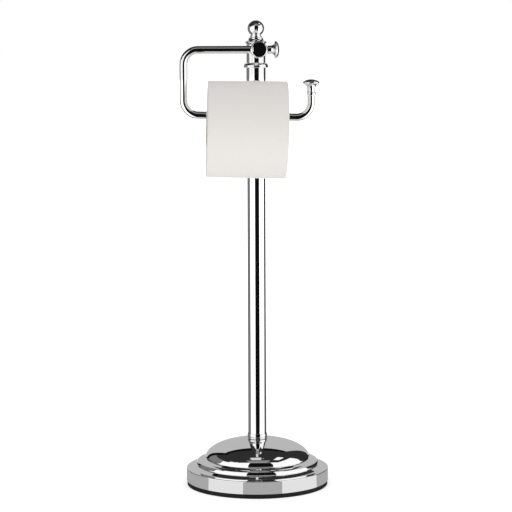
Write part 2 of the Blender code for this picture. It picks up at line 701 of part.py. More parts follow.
def add_arm_rod(model):
    """The bent rod: one round bar with a turned-down stub at each end for the knobs."""
    stub_start = KNOB_START_X - FIT
    shoulder = stub_start - ROD_SHOULDER
    end_shoulder = END_KNOB_BOTTOM - FIT
    corners = [
        Vector((shoulder, 0, ARM_Z)),
        Vector((-ARM_LEFT, 0, ARM_Z)),
        Vector((-ARM_LEFT, 0, lower_run_height(-ARM_LEFT))),
        Vector((ARM_RIGHT, 0, lower_run_height(ARM_RIGHT))),
        Vector((ARM_RIGHT, 0, end_shoulder - ROD_SHOULDER)),
    ]
    route = rounded_route(corners, BEND_RADIUS, BEND_STEPS)
    first = [Vector((stub_start + STUB_LENGTH, 0, ARM_Z)), Vector((stub_start, 0, ARM_Z))]
    last = [
        Vector((ARM_RIGHT, 0, end_shoulder)),
        Vector((ARM_RIGHT, 0, end_shoulder + STUB_LENGTH)),
    ]
    stub_share = ROD_STUB_RADIUS / ROD_RADIUS
    stations = [(spot, stub_share) for spot in first]
    stations += [(spot, 1) for spot in route]
    stations += [(spot, stub_share) for spot in last]
    curve = bpy.data.curves.new("arm_rod", "CURVE")
    curve.dimensions = "3D"
    curve.bevel_depth = ROD_RADIUS
    curve.bevel_resolution = ROD_BEVEL_RESOLUTION
    curve.use_fill_caps = True
    spline = curve.splines.new("POLY")
    spline.points.add(len(stations) - 1)
    for point, (spot, share) in zip(spline.points, stations):
        point.co = (*spot, 1)
        point.radius = share
    bar = bpy.data.objects.new("arm_rod", curve)
    place(bar, (0, -ARM_REACH, 0), UPRIGHT)
    bpy.context.scene.collection.objects.link(bar)
    model.add(curve_to_mesh(bar), CHROME)


def knob_head(start, flare, face_rise):
    """Outline of a trumpet knob's head, from the face's middle down to the spindle.

    The flare is a hollow quarter ellipse between the spindle and the lip.
    """
    lip = start + flare
    face_base = lip + KNOB_LIP_THICKNESS
    face = arc((0, face_base), (KNOB_LIP_RADIUS, face_rise), QUARTER, 0, KNOB_FACE_STEPS)
    run = KNOB_LIP_RADIUS - KNOB_SPINDLE_RADIUS
    hollow = arc((KNOB_LIP_RADIUS, start), (run, flare), QUARTER, math.pi, KNOB_FLARE_STEPS)
    return face + hollow


def stub_bore():
    """The end of a knob's outline: its foot and the blind bore for the rod's stub."""
    depth = STUB_LENGTH + STUD_TIP_GAP
    return [(STUB_BORE, 0), (STUB_BORE, depth), (0, depth)]


def add_top_knob(model):
    """The knob that closes the right end of the top run, against the boss."""
    outline = knob_head(TOP_KNOB_SPINDLE, TOP_KNOB_FLARE, KNOB_FACE_RISE)
    outline += [(KNOB_SPINDLE_RADIUS, 0)]
    outline += stub_bore()
    knob = turned("top_knob", outline, KNOB_SEGMENTS)
    place(knob, (KNOB_START_X, -ARM_REACH, ARM_Z), TOWARDS_RIGHT)
    model.add(knob, CHROME)


def add_end_knob(model):
    """The knob on the upturned end, which keeps the roll from sliding off."""
    bead_top = END_KNOB_BEAD_HEIGHT
    bead_half = END_KNOB_BEAD_HEIGHT / 2
    bead_run = END_KNOB_BEAD_RADIUS - KNOB_SPINDLE_RADIUS
    outline = knob_head(bead_top + END_KNOB_SPINDLE, END_KNOB_FLARE, KNOB_FACE_RISE)
    outline += arc((KNOB_SPINDLE_RADIUS, bead_half), (bead_run, bead_half), QUARTER, -QUARTER,
                   END_KNOB_BEAD_STEPS)
    outline += stub_bore()
    knob = turned("end_knob", outline, KNOB_SEGMENTS)
    place(knob, (ARM_RIGHT, -ARM_REACH, END_KNOB_BOTTOM), UPRIGHT)
    model.add(knob, CHROME)


def paper_outline():
    """The paper's outer outline, whose last turn lifts a little towards its loose end."""
    outline = []
    for step in range(ROLL_SEGMENTS + 1):
        turn = FULL_TURN * step / ROLL_SEGMENTS
        lift = max(0, 1 - (FULL_TURN - turn) / LOOSE_END_SPAN)
        radius = PAPER_RADIUS + LOOSE_END_RISE * lift * lift * (3 - 2 * lift)
        angle = LOOSE_END_ANGLE + turn
        outline.append((radius * math.cos(angle), radius * math.sin(angle)))
    return outline


def add_roll(model):
    """The toilet roll: a cardboard tube that hangs on the arm, and the paper wound on it."""
    axis = bpy.data.objects.new("roll_axis", None)
    axis.empty_display_size = CORE_BORE_RADIUS
    model.parts.objects.link(axis)
    place(axis, (-ROLL_OFFSET, -ARM_REACH, ROLL_AXIS_Z), Euler((0, QUARTER + ROD_SLOPE, 0)))
    core_outer = CORE_BORE_RADIUS + CORE_WALL
    core = round_ring("roll_core", core_outer, CORE_BORE_RADIUS, CORE_WIDTH, ROLL_SEGMENTS)
    place(core, (0, 0, -CORE_WIDTH / 2), UPRIGHT)
    model.add(core, CARDBOARD, axis)

    curve = bpy.data.curves.new("paper_roll", "CURVE")
    curve.dimensions = "2D"
    curve.fill_mode = "BOTH"
    curve.extrude = PAPER_WIDTH / 2
    inner = arc((0, 0), (PAPER_BORE_RADIUS, PAPER_BORE_RADIUS), 0, FULL_TURN, ROLL_SEGMENTS)
    for points in (paper_outline(), inner[:-1]):
        spline = curve.splines.new("POLY")
        spline.points.add(len(points) - 1)
        spline.use_cyclic_u = True
        for point, (across, along) in zip(spline.points, points):
            point.co = (across, along, 0, 1)
    paper = bpy.data.objects.new("paper_roll", curve)
    bpy.context.scene.collection.objects.link(paper)
    model.add(curve_to_mesh(paper), TISSUE, axis)


def build_holder():
    """Build every piece of the holder, from the floor up."""
    clear_scene()
    model = Model()
    add_base_pad(model)
    add_base_weight(model)
    add_base_shell(model)
    add_base_fasteners(model)
    add_foot_ring(model)
    add_pole(model)
    add_head_sleeve(model)
    add_head_flange(model)
    add_head_body(model)
    add_head_cap(model)
    add_finial(model)
    add_head_studs(model)
    add_arm_post(model)
    add_arm_rod(model)
    add_top_knob(model)
    add_end_knob(model)
    add_roll(model)


build_holder()
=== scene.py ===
# %% [markdown]
# # A chromed floor stand for a toilet roll
#
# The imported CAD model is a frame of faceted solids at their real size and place.
# This lesson dresses it: every chromed piece that shows is turned or drawn again with
# a finer surface, the roll gets its wound plies, and each finish is built from nodes.
# Nothing is moved, because every new piece is measured from the node it stands for.

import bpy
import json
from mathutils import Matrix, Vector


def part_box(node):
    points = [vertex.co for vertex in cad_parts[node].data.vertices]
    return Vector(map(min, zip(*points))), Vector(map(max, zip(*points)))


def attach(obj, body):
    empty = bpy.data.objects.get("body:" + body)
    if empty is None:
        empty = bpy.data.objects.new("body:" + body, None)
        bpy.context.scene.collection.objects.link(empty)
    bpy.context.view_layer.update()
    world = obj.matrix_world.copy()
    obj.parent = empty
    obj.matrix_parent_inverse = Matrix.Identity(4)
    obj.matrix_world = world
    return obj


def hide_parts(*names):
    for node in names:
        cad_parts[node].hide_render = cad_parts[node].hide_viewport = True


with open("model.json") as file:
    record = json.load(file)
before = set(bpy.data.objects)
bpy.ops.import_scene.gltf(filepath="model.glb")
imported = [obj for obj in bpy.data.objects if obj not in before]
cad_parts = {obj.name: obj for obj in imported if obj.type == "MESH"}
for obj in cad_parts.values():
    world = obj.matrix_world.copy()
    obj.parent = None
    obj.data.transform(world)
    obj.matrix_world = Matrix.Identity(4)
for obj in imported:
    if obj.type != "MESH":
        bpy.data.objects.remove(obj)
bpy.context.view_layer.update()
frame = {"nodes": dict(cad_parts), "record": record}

# %% Modelling modules and the unit
import json
import math

import bmesh
import bpy
from mathutils import Matrix, Vector

MM = 0.001
QUARTER = math.pi / 2
FULL_TURN = 2 * math.pi

# %% [markdown]
# ## The camera
#
# The stand was photographed from a good two metres away with a long lens, from a little
# to the left and about at the height of the arm, looking slightly down. The values come
# from fitting known corners of the frame to where they lie in the picture. The camera is
# tilted down rather than shifted, because the pole's sides lean by less than a pixel.

# %% Place the camera
camera_data = bpy.data.cameras.new("camera")
camera_data.sensor_width = 36
camera_data.lens = 127.67
camera = bpy.data.objects.new("camera", camera_data)
bpy.context.scene.collection.objects.link(camera)

camera_azimuth = math.radians(2.618)
camera_distance = 2.3325
camera_height = 0.5333
spot = Vector((-math.sin(camera_azimuth), -math.cos(camera_azimuth), 0)) * camera_distance
spot.z = camera_height
pan = Matrix.Rotation(-math.radians(2.598), 4, "Z")
tilt = Matrix.Rotation(QUARTER - math.radians(5.762), 4, "X")
roll_back = Matrix.Rotation(-math.radians(0.209), 4, "Z")
camera.matrix_world = Matrix.Translation(spot) @ pan @ tilt @ roll_back
bpy.context.scene.camera = camera
print("camera at", [round(value, 3) for value in camera.location], "lens", camera_data.lens)

# %% [markdown]
# ## Small effects that several finishes share
#
# Plated metal is never a perfect mirror: the plating lies in very shallow waves, and
# handling leaves a haze that only changes the gloss. Both are noise in Object
# coordinates, so they stay put when the roll turns. Each one is a node group, built
# once and placed in every finish with its own values.

# %% Helpers that add nodes
def add_node(tree, kind, sockets=None, **settings):
    """Add a node to the right of the one before.

    Each of its sockets that is named gets a value, or a link from another node's output.
    """
    node = tree.nodes.new("ShaderNode" + kind)
    node.location = (200 * len(tree.nodes) - 3200, 0)
    for label, value in settings.items():
        setattr(node, label, value)
    for label, value in (sockets or {}).items():
        if isinstance(value, bpy.types.NodeSocket):
            tree.links.new(value, node.inputs[label])
        else:
            node.inputs[label].default_value = value
    return node


def calculate(tree, operation, *values):
    """Work out one sum from values or outputs, and return its output."""
    return add_node(tree, "Math", dict(enumerate(values)), operation=operation).outputs["Value"]


def remap(tree, value, source=(0, 1), target=(0, 1), **settings):
    """Stretch one range of a value to another, and return the output."""
    sockets = {
        "Value": value, "From Min": source[0], "From Max": source[1],
        "To Min": target[0], "To Max": target[1],
    }
    return add_node(tree, "MapRange", sockets, **settings).outputs["Result"]


def object_coordinates(tree):
    """Object coordinates, which stay put on a piece that turns."""
    return add_node(tree, "TexCoord").outputs["Object"]


def noise(tree, vector, scale, detail, **more):
    """Soft noise between zero and one."""
    sockets = {"Vector": vector, "Scale": scale, "Detail": detail, **more}
    return add_node(tree, "TexNoise", sockets).outputs["Fac"]


def new_group(name, inputs, output, output_kind):
    """Start a node group. An input with four numbers is a colour, any other a plain number."""
    group = bpy.data.node_groups.new(name, "ShaderNodeTree")
    for label, value in inputs.items():
        kind = "NodeSocketColor" if isinstance(value, tuple) else "NodeSocketFloat"
        socket = group.interface.new_socket(name=label, in_out="INPUT", socket_type=kind)
        socket.default_value = value
    group.interface.new_socket(name=output, in_out="OUTPUT", socket_type=output_kind)
    given = group.nodes.new("NodeGroupInput")
    result = group.nodes.new("NodeGroupOutput")
    given.location = (-3200, 0)
    return group, given.outputs, result.inputs[output]


# %% Shallow waves of plating or casting, as a height
tree, given, result = new_group(
    "surface_waves", {"Broad Scale": 60.0, "Fine Scale": 900.0, "Fine Share": 0.2},
    "Height", "NodeSocketFloat",
)
coords = object_coordinates(tree)
broad = noise(tree, coords, given["Broad Scale"], 2)
fine = noise(tree, coords, given["Fine Scale"], 3)
fine_part = calculate(tree, "MULTIPLY", fine, given["Fine Share"])
tree.links.new(calculate(tree, "ADD", broad, fine_part), result)
surface_waves = tree
print("group:", surface_waves.name)

# %% Haze from handling, as a roughness that drifts between two values in soft patches
tree, given, result = new_group(
    "handling_haze", {"Scale": 25.0, "Clean": 0.03, "Hazy": 0.08}, "Roughness", "NodeSocketFloat"
)
patches = noise(tree, object_coordinates(tree), given["Scale"], 5, Roughness=0.6)
haze = remap(tree, patches, (0.42, 0.72), (given["Clean"], given["Hazy"]))
tree.links.new(haze, result)
handling_haze = tree
print("group:", handling_haze.name)

# %% Fibres, as a blend of two tints by short stretched noise
tree, given, result = new_group(
    "pulp_fibres",
    {"Fibre Scale": 700.0, "Light": (0.9, 0.9, 0.9, 1), "Dark": (0.8, 0.8, 0.8, 1)},
    "Color", "NodeSocketColor",
)
stretch_sockets = {"Vector": object_coordinates(tree), "Scale": (0.35, 1.0, 1.0)}
stretched = add_node(tree, "Mapping", stretch_sockets).outputs["Vector"]
fibres = noise(tree, stretched, given["Fibre Scale"], 4, Distortion=0.6)
tint_share = remap(tree, fibres, (0.3, 0.7))
blend_sockets = {"Factor": tint_share, "A": given["Dark"], "B": given["Light"]}
blend = add_node(tree, "Mix", blend_sockets, data_type="RGBA")
tree.links.new(blend.outputs["Result"], result)
pulp_fibres = tree
print("group:", pulp_fibres.name)

# %% [markdown]
# ## The finishes
#
# A finish is one material with its own Principled shader. The plain numbers, such as how
# metallic it is, are set on the shader's sockets, and only what changes over the surface
# arrives through a link. Chrome is a neutral, very slightly blue mirror. The base is
# pressed from sheet, so its waves are broader than those of the small turned pieces.

# %% Helpers that start a finish and place groups in it
def start_finish(name, colour, roughness, metallic=0.0):
    """Make a material and return it with its node tree and its shader."""
    material = bpy.data.materials.new(name)
    material.use_nodes = True
    material.diffuse_color = (*colour, 1)
    shader = material.node_tree.nodes["Principled BSDF"]
    shader.inputs["Base Color"].default_value = (*colour, 1)
    shader.inputs["Roughness"].default_value = roughness
    shader.inputs["Metallic"].default_value = metallic
    return material, material.node_tree, shader


def place_group(tree, group, **values):
    """Place a shared group with its own input values, and return its output."""
    sockets = {label.replace("_", " "): value for label, value in values.items()}
    return add_node(tree, "Group", sockets, node_tree=group).outputs[0]


def add_haze(tree, shader, scale, clean, hazy):
    """Give the shader a roughness that drifts between two values."""
    gloss = place_group(tree, handling_haze, Scale=scale, Clean=clean, Hazy=hazy)
    tree.links.new(gloss, shader.inputs["Roughness"])


def add_bump(tree, shader, height, strength, distance):
    """Turn a height into a normal for the shader."""
    sockets = {"Height": height, "Strength": strength, "Distance": distance}
    bump = add_node(tree, "Bump", sockets)
    tree.links.new(bump.outputs["Normal"], shader.inputs["Normal"])


# %% Three chromes: pressed, drawn and turned
def make_chrome(name, broad_scale, fine_share, wave_height, hazy):
    """Polished chrome plate with its own size of wave and its own haze."""
    material, tree, shader = start_finish(name, (0.96, 0.96, 0.965), 0.04, 1.0)
    waves = place_group(tree, surface_waves, Broad_Scale=broad_scale, Fine_Share=fine_share)
    add_bump(tree, shader, waves, 0.5, wave_height)
    add_haze(tree, shader, 18.0, 0.02, hazy)
    return material


pressed_chrome = make_chrome("pressed_chrome", 28.0, 0.02, 0.00004, 0.05)
drawn_chrome = make_chrome("drawn_chrome", 22.0, 0.02, 0.000008, 0.045)
turned_chrome = make_chrome("turned_chrome", 70.0, 0.03, 0.000004, 0.045)
print("finishes:", pressed_chrome.name, drawn_chrome.name, turned_chrome.name)

# %% [markdown]
# The pieces inside are hidden by the chrome, but the model is kept whole, so they get
# honest finishes too: a black painted casting, zinc plated fasteners with a passivated
# tint, and brass plugs with the fine rings that a lathe leaves.

# %% Painted casting
cast_iron, tree, shader = start_finish("painted_cast_iron", (0.09, 0.09, 0.10), 0.6)
waves = place_group(tree, surface_waves, Broad_Scale=120.0, Fine_Scale=1500.0, Fine_Share=0.6)
add_bump(tree, shader, waves, 0.8, 0.0004)
add_haze(tree, shader, 90.0, 0.45, 0.75)

# %% Zinc plated steel
zinc_steel, tree, shader = start_finish("zinc_plated_steel", (0.62, 0.63, 0.65), 0.3, 1.0)
tint = place_group(
    tree, pulp_fibres, Fibre_Scale=240.0,
    Light=(0.66, 0.67, 0.70, 1), Dark=(0.56, 0.57, 0.55, 1),
)
tree.links.new(tint, shader.inputs["Base Color"])
add_haze(tree, shader, 160.0, 0.22, 0.42)

# %% Turned brass, with rings along the axis of the stand
turned_brass, tree, shader = start_finish("turned_brass", (0.78, 0.60, 0.30), 0.3, 1.0)
ring_sockets = {"Vector": object_coordinates(tree), "Scale": 900, "Distortion": 0.8}
rings = add_node(tree, "TexWave", ring_sockets, wave_type="BANDS", bands_direction="Z")
add_bump(tree, shader, rings.outputs["Fac"], 0.4, 0.00005)
add_haze(tree, shader, 120.0, 0.2, 0.4)
print("finishes:", cast_iron.name, zinc_steel.name, turned_brass.name)

# %% Dress the hidden pieces, which keep their CAD shapes
hidden_finishes = {
    cast_iron: "base_weight",
    zinc_steel: "base_bolt base_lock_washer base_washer head_stud finial_stud post_stud",
    turned_brass: "pole_lower_insert pole_upper_insert",
}
for finish, names in hidden_finishes.items():
    for name in names.split():
        materials = frame["nodes"][name].data.materials
        materials.clear()
        materials.append(finish)
    print("dressed inside:", names)

# %% [markdown]
# ## Turning a piece
#
# Nearly everything on this stand came off a lathe. In Blender that is a profile, a few
# vertices joined by edges, and one full spin round the axis. A mirror finish shows every
# kink, so a profile is built from true arcs, and its corners get the small radius that
# polishing leaves. The spin merges its first and last copy, doubles at the poles are
# merged, and only then are the normals recalculated.

# %% Arcs and rounded corners for profiles
def arc(centre, radii, start, end, steps):
    """Points along an elliptical arc in the (radius, height) plane, angles in degrees."""
    points = []
    for step in range(steps + 1):
        turn = math.radians(start + (end - start) * step / steps)
        across, up = radii[0] * math.cos(turn), radii[1] * math.sin(turn)
        points.append((centre[0] + across, centre[1] + up))
    return points


def round_corner(before, corner, after, radius, steps=5):
    """Replace one corner of a profile by an arc that touches both sides."""
    corner = Vector(corner)
    inward = (Vector(before) - corner).normalized()
    outward = (Vector(after) - corner).normalized()
    half = inward.angle(outward) / 2
    reach = radius / math.tan(half)
    middle = corner + (inward + outward).normalized() * (radius / math.sin(half))
    first = (corner + inward * reach) - middle
    last = (corner + outward * reach) - middle
    sweep = first.angle_signed(last)
    points = []
    for step in range(steps + 1):
        turn = Matrix.Rotation(-sweep * step / steps, 2)
        points.append(tuple(middle + turn @ first))
    return points


def soften(profile, corners):
    """Round the corners of a profile that are named by their place in it."""
    softened = []
    for place, point in enumerate(profile):
        radius = corners.get(place)
        if not radius:
            softened.append(point)
            continue
        before = profile[place - 1]
        after = profile[(place + 1) % len(profile)]
        softened += round_corner(before, point, after, radius)
    return softened


test_corner = round_corner((0, 1), (1, 1), (1, 0), 0.5, 2)
print("test corner:", [tuple(round(value, 2) for value in point) for point in test_corner])


# %% The lathe
long_straight = 2.5  # times the length of the small side next to it
hold_reach = 0.4  # of that small side


def hold_straights(profile):
    """Put a point just inside each end of a long straight that meets a small arc.

    Without it the soft shading of the arc would bleed along the whole straight.
    """
    spans = [(Vector(b) - Vector(a)).length for a, b in zip(profile, profile[1:])]
    held = [profile[0]]
    for place, span in enumerate(spans):
        start, end = Vector(profile[place]), Vector(profile[place + 1])
        before = spans[place - 1] if place else 0
        after = spans[place + 1] if place + 1 < len(spans) else 0
        if before and span > long_straight * before:
            held.append(tuple(start.lerp(end, hold_reach * before / span)))
        if after and span > long_straight * after:
            held.append(tuple(end.lerp(start, hold_reach * after / span)))
        held.append(profile[place + 1])
    return held


def turn_profile(profile, segments=192, hollow=False):
    """Spin a profile of (radius, height) once round Z and return the bmesh."""
    shape = bmesh.new()
    verts = [shape.verts.new((radius, 0, height)) for radius, height in hold_straights(profile)]
    edges = [shape.edges.new(pair) for pair in zip(verts, verts[1:])]
    if hollow:
        edges.append(shape.edges.new((verts[-1], verts[0])))
    bmesh.ops.spin(
        shape, geom=verts + edges, cent=(0, 0, 0), axis=(0, 0, 1), dvec=(0, 0, 0),
        angle=FULL_TURN, steps=segments, use_merge=True,
    )
    bmesh.ops.remove_doubles(shape, verts=shape.verts, dist=1e-7)
    bmesh.ops.recalc_face_normals(shape, faces=shape.faces)
    return shape


# %% Finishing a piece: mesh, shading, finish, body and what it stands for
def to_object(name, shape, finish=None):
    """Put a bmesh in the scene as an object."""
    mesh = bpy.data.meshes.new(name)
    shape.to_mesh(mesh)
    shape.free()
    if finish:
        mesh.materials.append(finish)
    item = bpy.data.objects.new(name, mesh)
    bpy.context.scene.collection.objects.link(item)
    return item


def finish_piece(name, shape, finish, stands_for, body="root", sharp=28):
    """Turn a bmesh into a piece that rides on a body in place of a node."""
    piece = to_object(name, shape, finish)
    mesh = piece.data
    mesh.shade_smooth()
    mesh.set_sharp_from_angle(angle=math.radians(sharp))
    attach(piece, body)
    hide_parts(stands_for)
    low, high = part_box(stands_for)
    off = 0
    for axis in range(3):
        values = [vert.co[axis] for vert in mesh.vertices]
        off = max(off, abs(min(values) - low[axis]), abs(max(values) - high[axis]))
    print(f"{name}: {len(mesh.polygons)} faces, box within {off * 1000:.2f} mm of the node")


# %% [markdown]
# ## The base
#
# The base is one pressing with a black foam pad below it. From the floor up it has a
# straight rim with a small round at its top, a shoulder that falls outwards in a hollow
# curve, a tier with the same kind of top and a bulging side, and a low dome that ends in a
# landing for the pole. The dome and the tier both turn in a little at the foot, which
# draws the dark lines at their creases. The outline is a chain of arcs and straight
# lines, and it comes back inside at the thickness of the sheet, so that the underside is
# a real hollow.

# %% Turn the pressed shell
shell_low, shell_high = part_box("base_shell")
rim_radius = shell_high.x + 0.6 * MM
landing_z = shell_high.z
shell_z = shell_low.z
sheet = 1.2 * MM
bolt_bore = 4.3 * MM
foot_round = 4 * MM
landing_radius = 13.2 * MM
dome_radius = rim_radius - 24.7 * MM
dome_z = shell_z + 29.7 * MM
landing_angle = math.degrees(math.acos(landing_radius / dome_radius))
landing_step = 0.45 * MM
dome_rise = (landing_z - landing_step - dome_z) / math.sin(math.radians(landing_angle))
tier_radius = rim_radius - 13.0 * MM
tier_z = shell_z + 21.1 * MM
tier_round = 8.5 * MM
arris_z = shell_z + 16.7 * MM


def turned_in(radius, height, angle):
    """The foot of a bulging step, which turns in under its widest place."""
    return arc((radius - foot_round, height), (foot_round, foot_round), 0, -angle, 5)[1:]


dome = arc((0, dome_z), (dome_radius, dome_rise), landing_angle, 0, 40)
dome += turned_in(dome_radius, dome_z, 15)
side = arc((tier_radius - tier_round, tier_z), (tier_round, tier_round), 30, 0, 14)
tier_bend = (dome_radius + 4.6 * MM, dome_z - 3.2 * MM)
tier = round_corner(dome[-1], tier_bend, side[0], 6 * MM)
tier += round_corner(tier_bend, side[0], side[3], 0.7 * MM) + side[3:]
tier += turned_in(tier_radius, tier_z, 12)
bend = (tier_radius + 5.9 * MM, arris_z + 0.3 * MM)
shoulder = round_corner(tier[-1], bend, (rim_radius, arris_z), 6 * MM)
shoulder += round_corner(bend, (rim_radius, arris_z), (rim_radius, shell_z), 0.9 * MM, 6)
lip_radius = rim_radius - 3.8 * MM
lip = round_corner((rim_radius, arris_z), (rim_radius, shell_z), (lip_radius, shell_z), 0.5 * MM)
lip += [(lip_radius, shell_z), (lip_radius, shell_z + sheet)]
lip += [(rim_radius - sheet, shell_z + sheet)]
outer = [(bolt_bore, landing_z), (landing_radius - 0.6 * MM, landing_z)]
outer += dome + tier + shoulder + lip

inner = [(bolt_bore, landing_z - sheet)]
inner += arc((0, dome_z), (dome_radius - sheet, dome_rise - sheet), landing_angle, 0, 40)
inner += [(dome_radius - sheet, dome_z - 2 * MM)]
inner_round = tier_round - sheet
inner += arc((tier_radius - tier_round, tier_z), (inner_round, inner_round), 27, 0, 10)
inner += [(tier_radius - sheet, tier_z - 2.2 * MM), (bend[0] - 0.3 * MM, bend[1] - 1.1 * sheet)]
inner += [(rim_radius - sheet, arris_z - 1.1 * sheet)]
base = turn_profile(outer + inner[::-1], 288, hollow=True)
finish_piece("pressed_base", base, pressed_chrome, "base_shell", sharp=30)

# %% [markdown]
# ## The foam pad
#
# Under the rim sits a disc of black foam, nearly as wide as the rim. It only shows as a
# dark line that lifts the chrome off the floor. It is a plain disc with soft edges, and
# its finish is matt, with the open pores that a cut foam has.

# %% Foam finish: open pores as a bump, and painted shade that darkens the pores against their walls
foam, tree, shader = start_finish("black_foam", (0.008, 0.008, 0.008), 0.9)
cell_sockets = {"Vector": object_coordinates(tree), "Scale": 900}
cells = add_node(tree, "TexVoronoi", cell_sockets, feature="F1").outputs["Distance"]
# Painted shade: the ramp makes the pores, which the bump sinks, darker than the cell walls.
pore_shade = add_node(tree, "ValToRGB", {"Fac": cells})
pore, wall = pore_shade.color_ramp.elements
pore.position, pore.color = 0.15, (0.003, 0.003, 0.003, 1)
wall.position, wall.color = 0.75, (0.014, 0.014, 0.0135, 1)
tree.links.new(pore_shade.outputs["Color"], shader.inputs["Base Color"])
add_bump(tree, shader, cells, 0.7, 0.0006)

# %% Turn the foam disc
pad_low, pad_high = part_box("base_pad")
pad_radius = rim_radius - 0.7 * MM
pad_profile = [(0, pad_high.z), (pad_radius, pad_high.z), (pad_radius, pad_low.z), (0, pad_low.z)]
pad_profile = soften(pad_profile, {1: 0.4 * MM, 2: 0.4 * MM})
finish_piece("foam_pad", turn_profile(pad_profile, 192), foam, "base_pad")

# %% [markdown]
# ## The pole and its foot ring
#
# The pole is a drawn tube. Where it meets the base a trim ring hides the joint: a bead
# below, a groove, and a soft flare that closes on the tube. On the real stand these small
# steps catch thin dark lines, so they are kept as real shapes and not as a pattern.

# %% Turn the foot ring
ring_low, ring_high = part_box("pole_foot_ring")
bead_top = ring_low.z + 2.0 * MM
flare_top = ring_high.z
ring_bore = 12.05 * MM
ring_profile = [(ring_bore, flare_top), (12.3 * MM, flare_top), (12.8 * MM, bead_top + 1.5 * MM)]
ring_profile += [(12.72 * MM, bead_top + 0.5 * MM), (12.4 * MM, bead_top)]
ring_profile += arc((12.4 * MM, bead_top - 1.0 * MM), (0.6 * MM, 1.0 * MM), 90, -90, 10)[1:]
ring_profile += [(ring_bore, ring_low.z)]
ring_profile = soften(ring_profile, {1: 0.15 * MM, 2: 0.5 * MM})
ring = turn_profile(ring_profile, 160, hollow=True)
finish_piece("foot_ring", ring, turned_chrome, "pole_foot_ring", sharp=35)

# %% Turn the pole
def tube_profile(outside, bore, top, bottom):
    """The four corners of a plain tube's wall."""
    return [(outside, top), (outside, bottom), (bore, bottom), (bore, top)]


pole_low, pole_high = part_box("pole_tube")
pole_wall = 1.2 * MM
pole_profile = tube_profile(pole_high.x, pole_high.x - pole_wall, pole_high.z, pole_low.z)
pole_profile = soften(pole_profile, {0: 0.25 * MM, 1: 0.25 * MM})
pole = turn_profile(pole_profile, 192, hollow=True)
finish_piece("pole", pole, drawn_chrome, "pole_tube", sharp=35)

# %% [markdown]
# ## The head
#
# Above the pole come a slightly wider sleeve, a collar with a sloping top, a drum, a
# flared cap and a ball. They are separate turnings that a stud pulls together, so the
# joints between them are real gaps. The drum has a flat seat for the post, which is made
# with a Boolean, because no turning could leave it.

# %% Turn the sleeve and the collar
sleeve_low, sleeve_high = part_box("head_sleeve")
sleeve_radius = sleeve_high.x
sleeve_foot = sleeve_low.z + 12.0 * MM
stud_bore = 4.3 * MM
sleeve_profile = [
    (sleeve_radius, sleeve_high.z),
    (sleeve_radius, sleeve_foot),
    (10.25 * MM, sleeve_foot),
    (10.25 * MM, sleeve_low.z),
    (stud_bore, sleeve_low.z),
    (stud_bore, sleeve_high.z),
]
sleeve_profile = soften(sleeve_profile, {0: 0.2 * MM, 1: 0.6 * MM})
sleeve = turn_profile(sleeve_profile, 160, hollow=True)
finish_piece("sleeve", sleeve, drawn_chrome, "head_sleeve", sharp=35)

collar_low, collar_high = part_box("head_flange")
collar_radius = collar_high.x
lip_top = collar_low.z + 1.6 * MM
slope = arc((12.8 * MM, lip_top), (collar_radius - 12.8 * MM, collar_high.z - lip_top), 90, 0, 14)
collar_profile = slope + [(collar_radius, collar_low.z), (stud_bore, collar_low.z)]
collar_profile += [(stud_bore, collar_high.z)]
collar_profile = soften(collar_profile, {15: 0.4 * MM})
collar = turn_profile(collar_profile, 160, hollow=True)
finish_piece("collar", collar, turned_chrome, "head_flange", sharp=40)


# %% Cutting one closed shape with another
def cut(shape, cutter):
    """Cut one closed bmesh with another and return what is left.

    Removing a mesh removes the object that shows it as well.
    """
    blank = to_object("blank", shape)
    tool = to_object("tool", cutter)
    boolean = blank.modifiers.new("cut", "BOOLEAN")
    boolean.operation = "DIFFERENCE"
    boolean.solver = "EXACT"
    boolean.object = tool
    bpy.context.view_layer.update()
    depsgraph = bpy.context.evaluated_depsgraph_get()
    result = bpy.data.meshes.new_from_object(blank.evaluated_get(depsgraph))
    left = bmesh.new()
    left.from_mesh(result)
    for mesh in (blank.data, tool.data, result):
        bpy.data.meshes.remove(mesh)
    return left


def place_shape(shape, spot, turn=None):
    """Turn a bmesh about the origin and move it to a spot."""
    matrix = Matrix.Translation(spot)
    if turn:
        matrix = matrix @ turn
    bmesh.ops.transform(shape, matrix=matrix, verts=shape.verts)
    return shape


TOWARDS_FRONT = Matrix.Rotation(QUARTER, 4, "X")
TOWARDS_RIGHT = Matrix.Rotation(QUARTER, 4, "Y")

# %% Turn the drum and cut the post's seat in its front
drum_low, drum_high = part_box("head_body")
drum_radius = drum_high.x
arm_z = drum_high.z - 7.5 * MM
finial_bore = 2.8 * MM
bore_floor = drum_high.z - 7.7 * MM
stud_top = drum_low.z + 11.5 * MM
drum_profile = [
    (0, bore_floor),
    (finial_bore, bore_floor),
    (finial_bore, drum_high.z),
    (drum_radius, drum_high.z),
    (drum_radius, drum_low.z),
    (stud_bore, drum_low.z),
    (stud_bore, stud_top),
    (0, stud_top),
]
drum_profile = soften(drum_profile, {3: 0.4 * MM, 4: 0.4 * MM})
seat_radius = 6.8 * MM
seat_y = math.sqrt(drum_radius ** 2 - seat_radius ** 2)
post_bore = 3.3 * MM
seat_front = 8 * MM
seat_back = -5.5 * MM
seat_profile = [(0, seat_front), (seat_radius, seat_front), (seat_radius, 0)]
seat_profile += [(post_bore, 0), (post_bore, seat_back), (0, seat_back)]
seat_cutter = turn_profile(seat_profile, 96)
place_shape(seat_cutter, (0, -seat_y, arm_z), TOWARDS_FRONT)
drum = cut(turn_profile(drum_profile, 160), seat_cutter)
finish_piece("drum", drum, turned_chrome, "head_body", sharp=35)

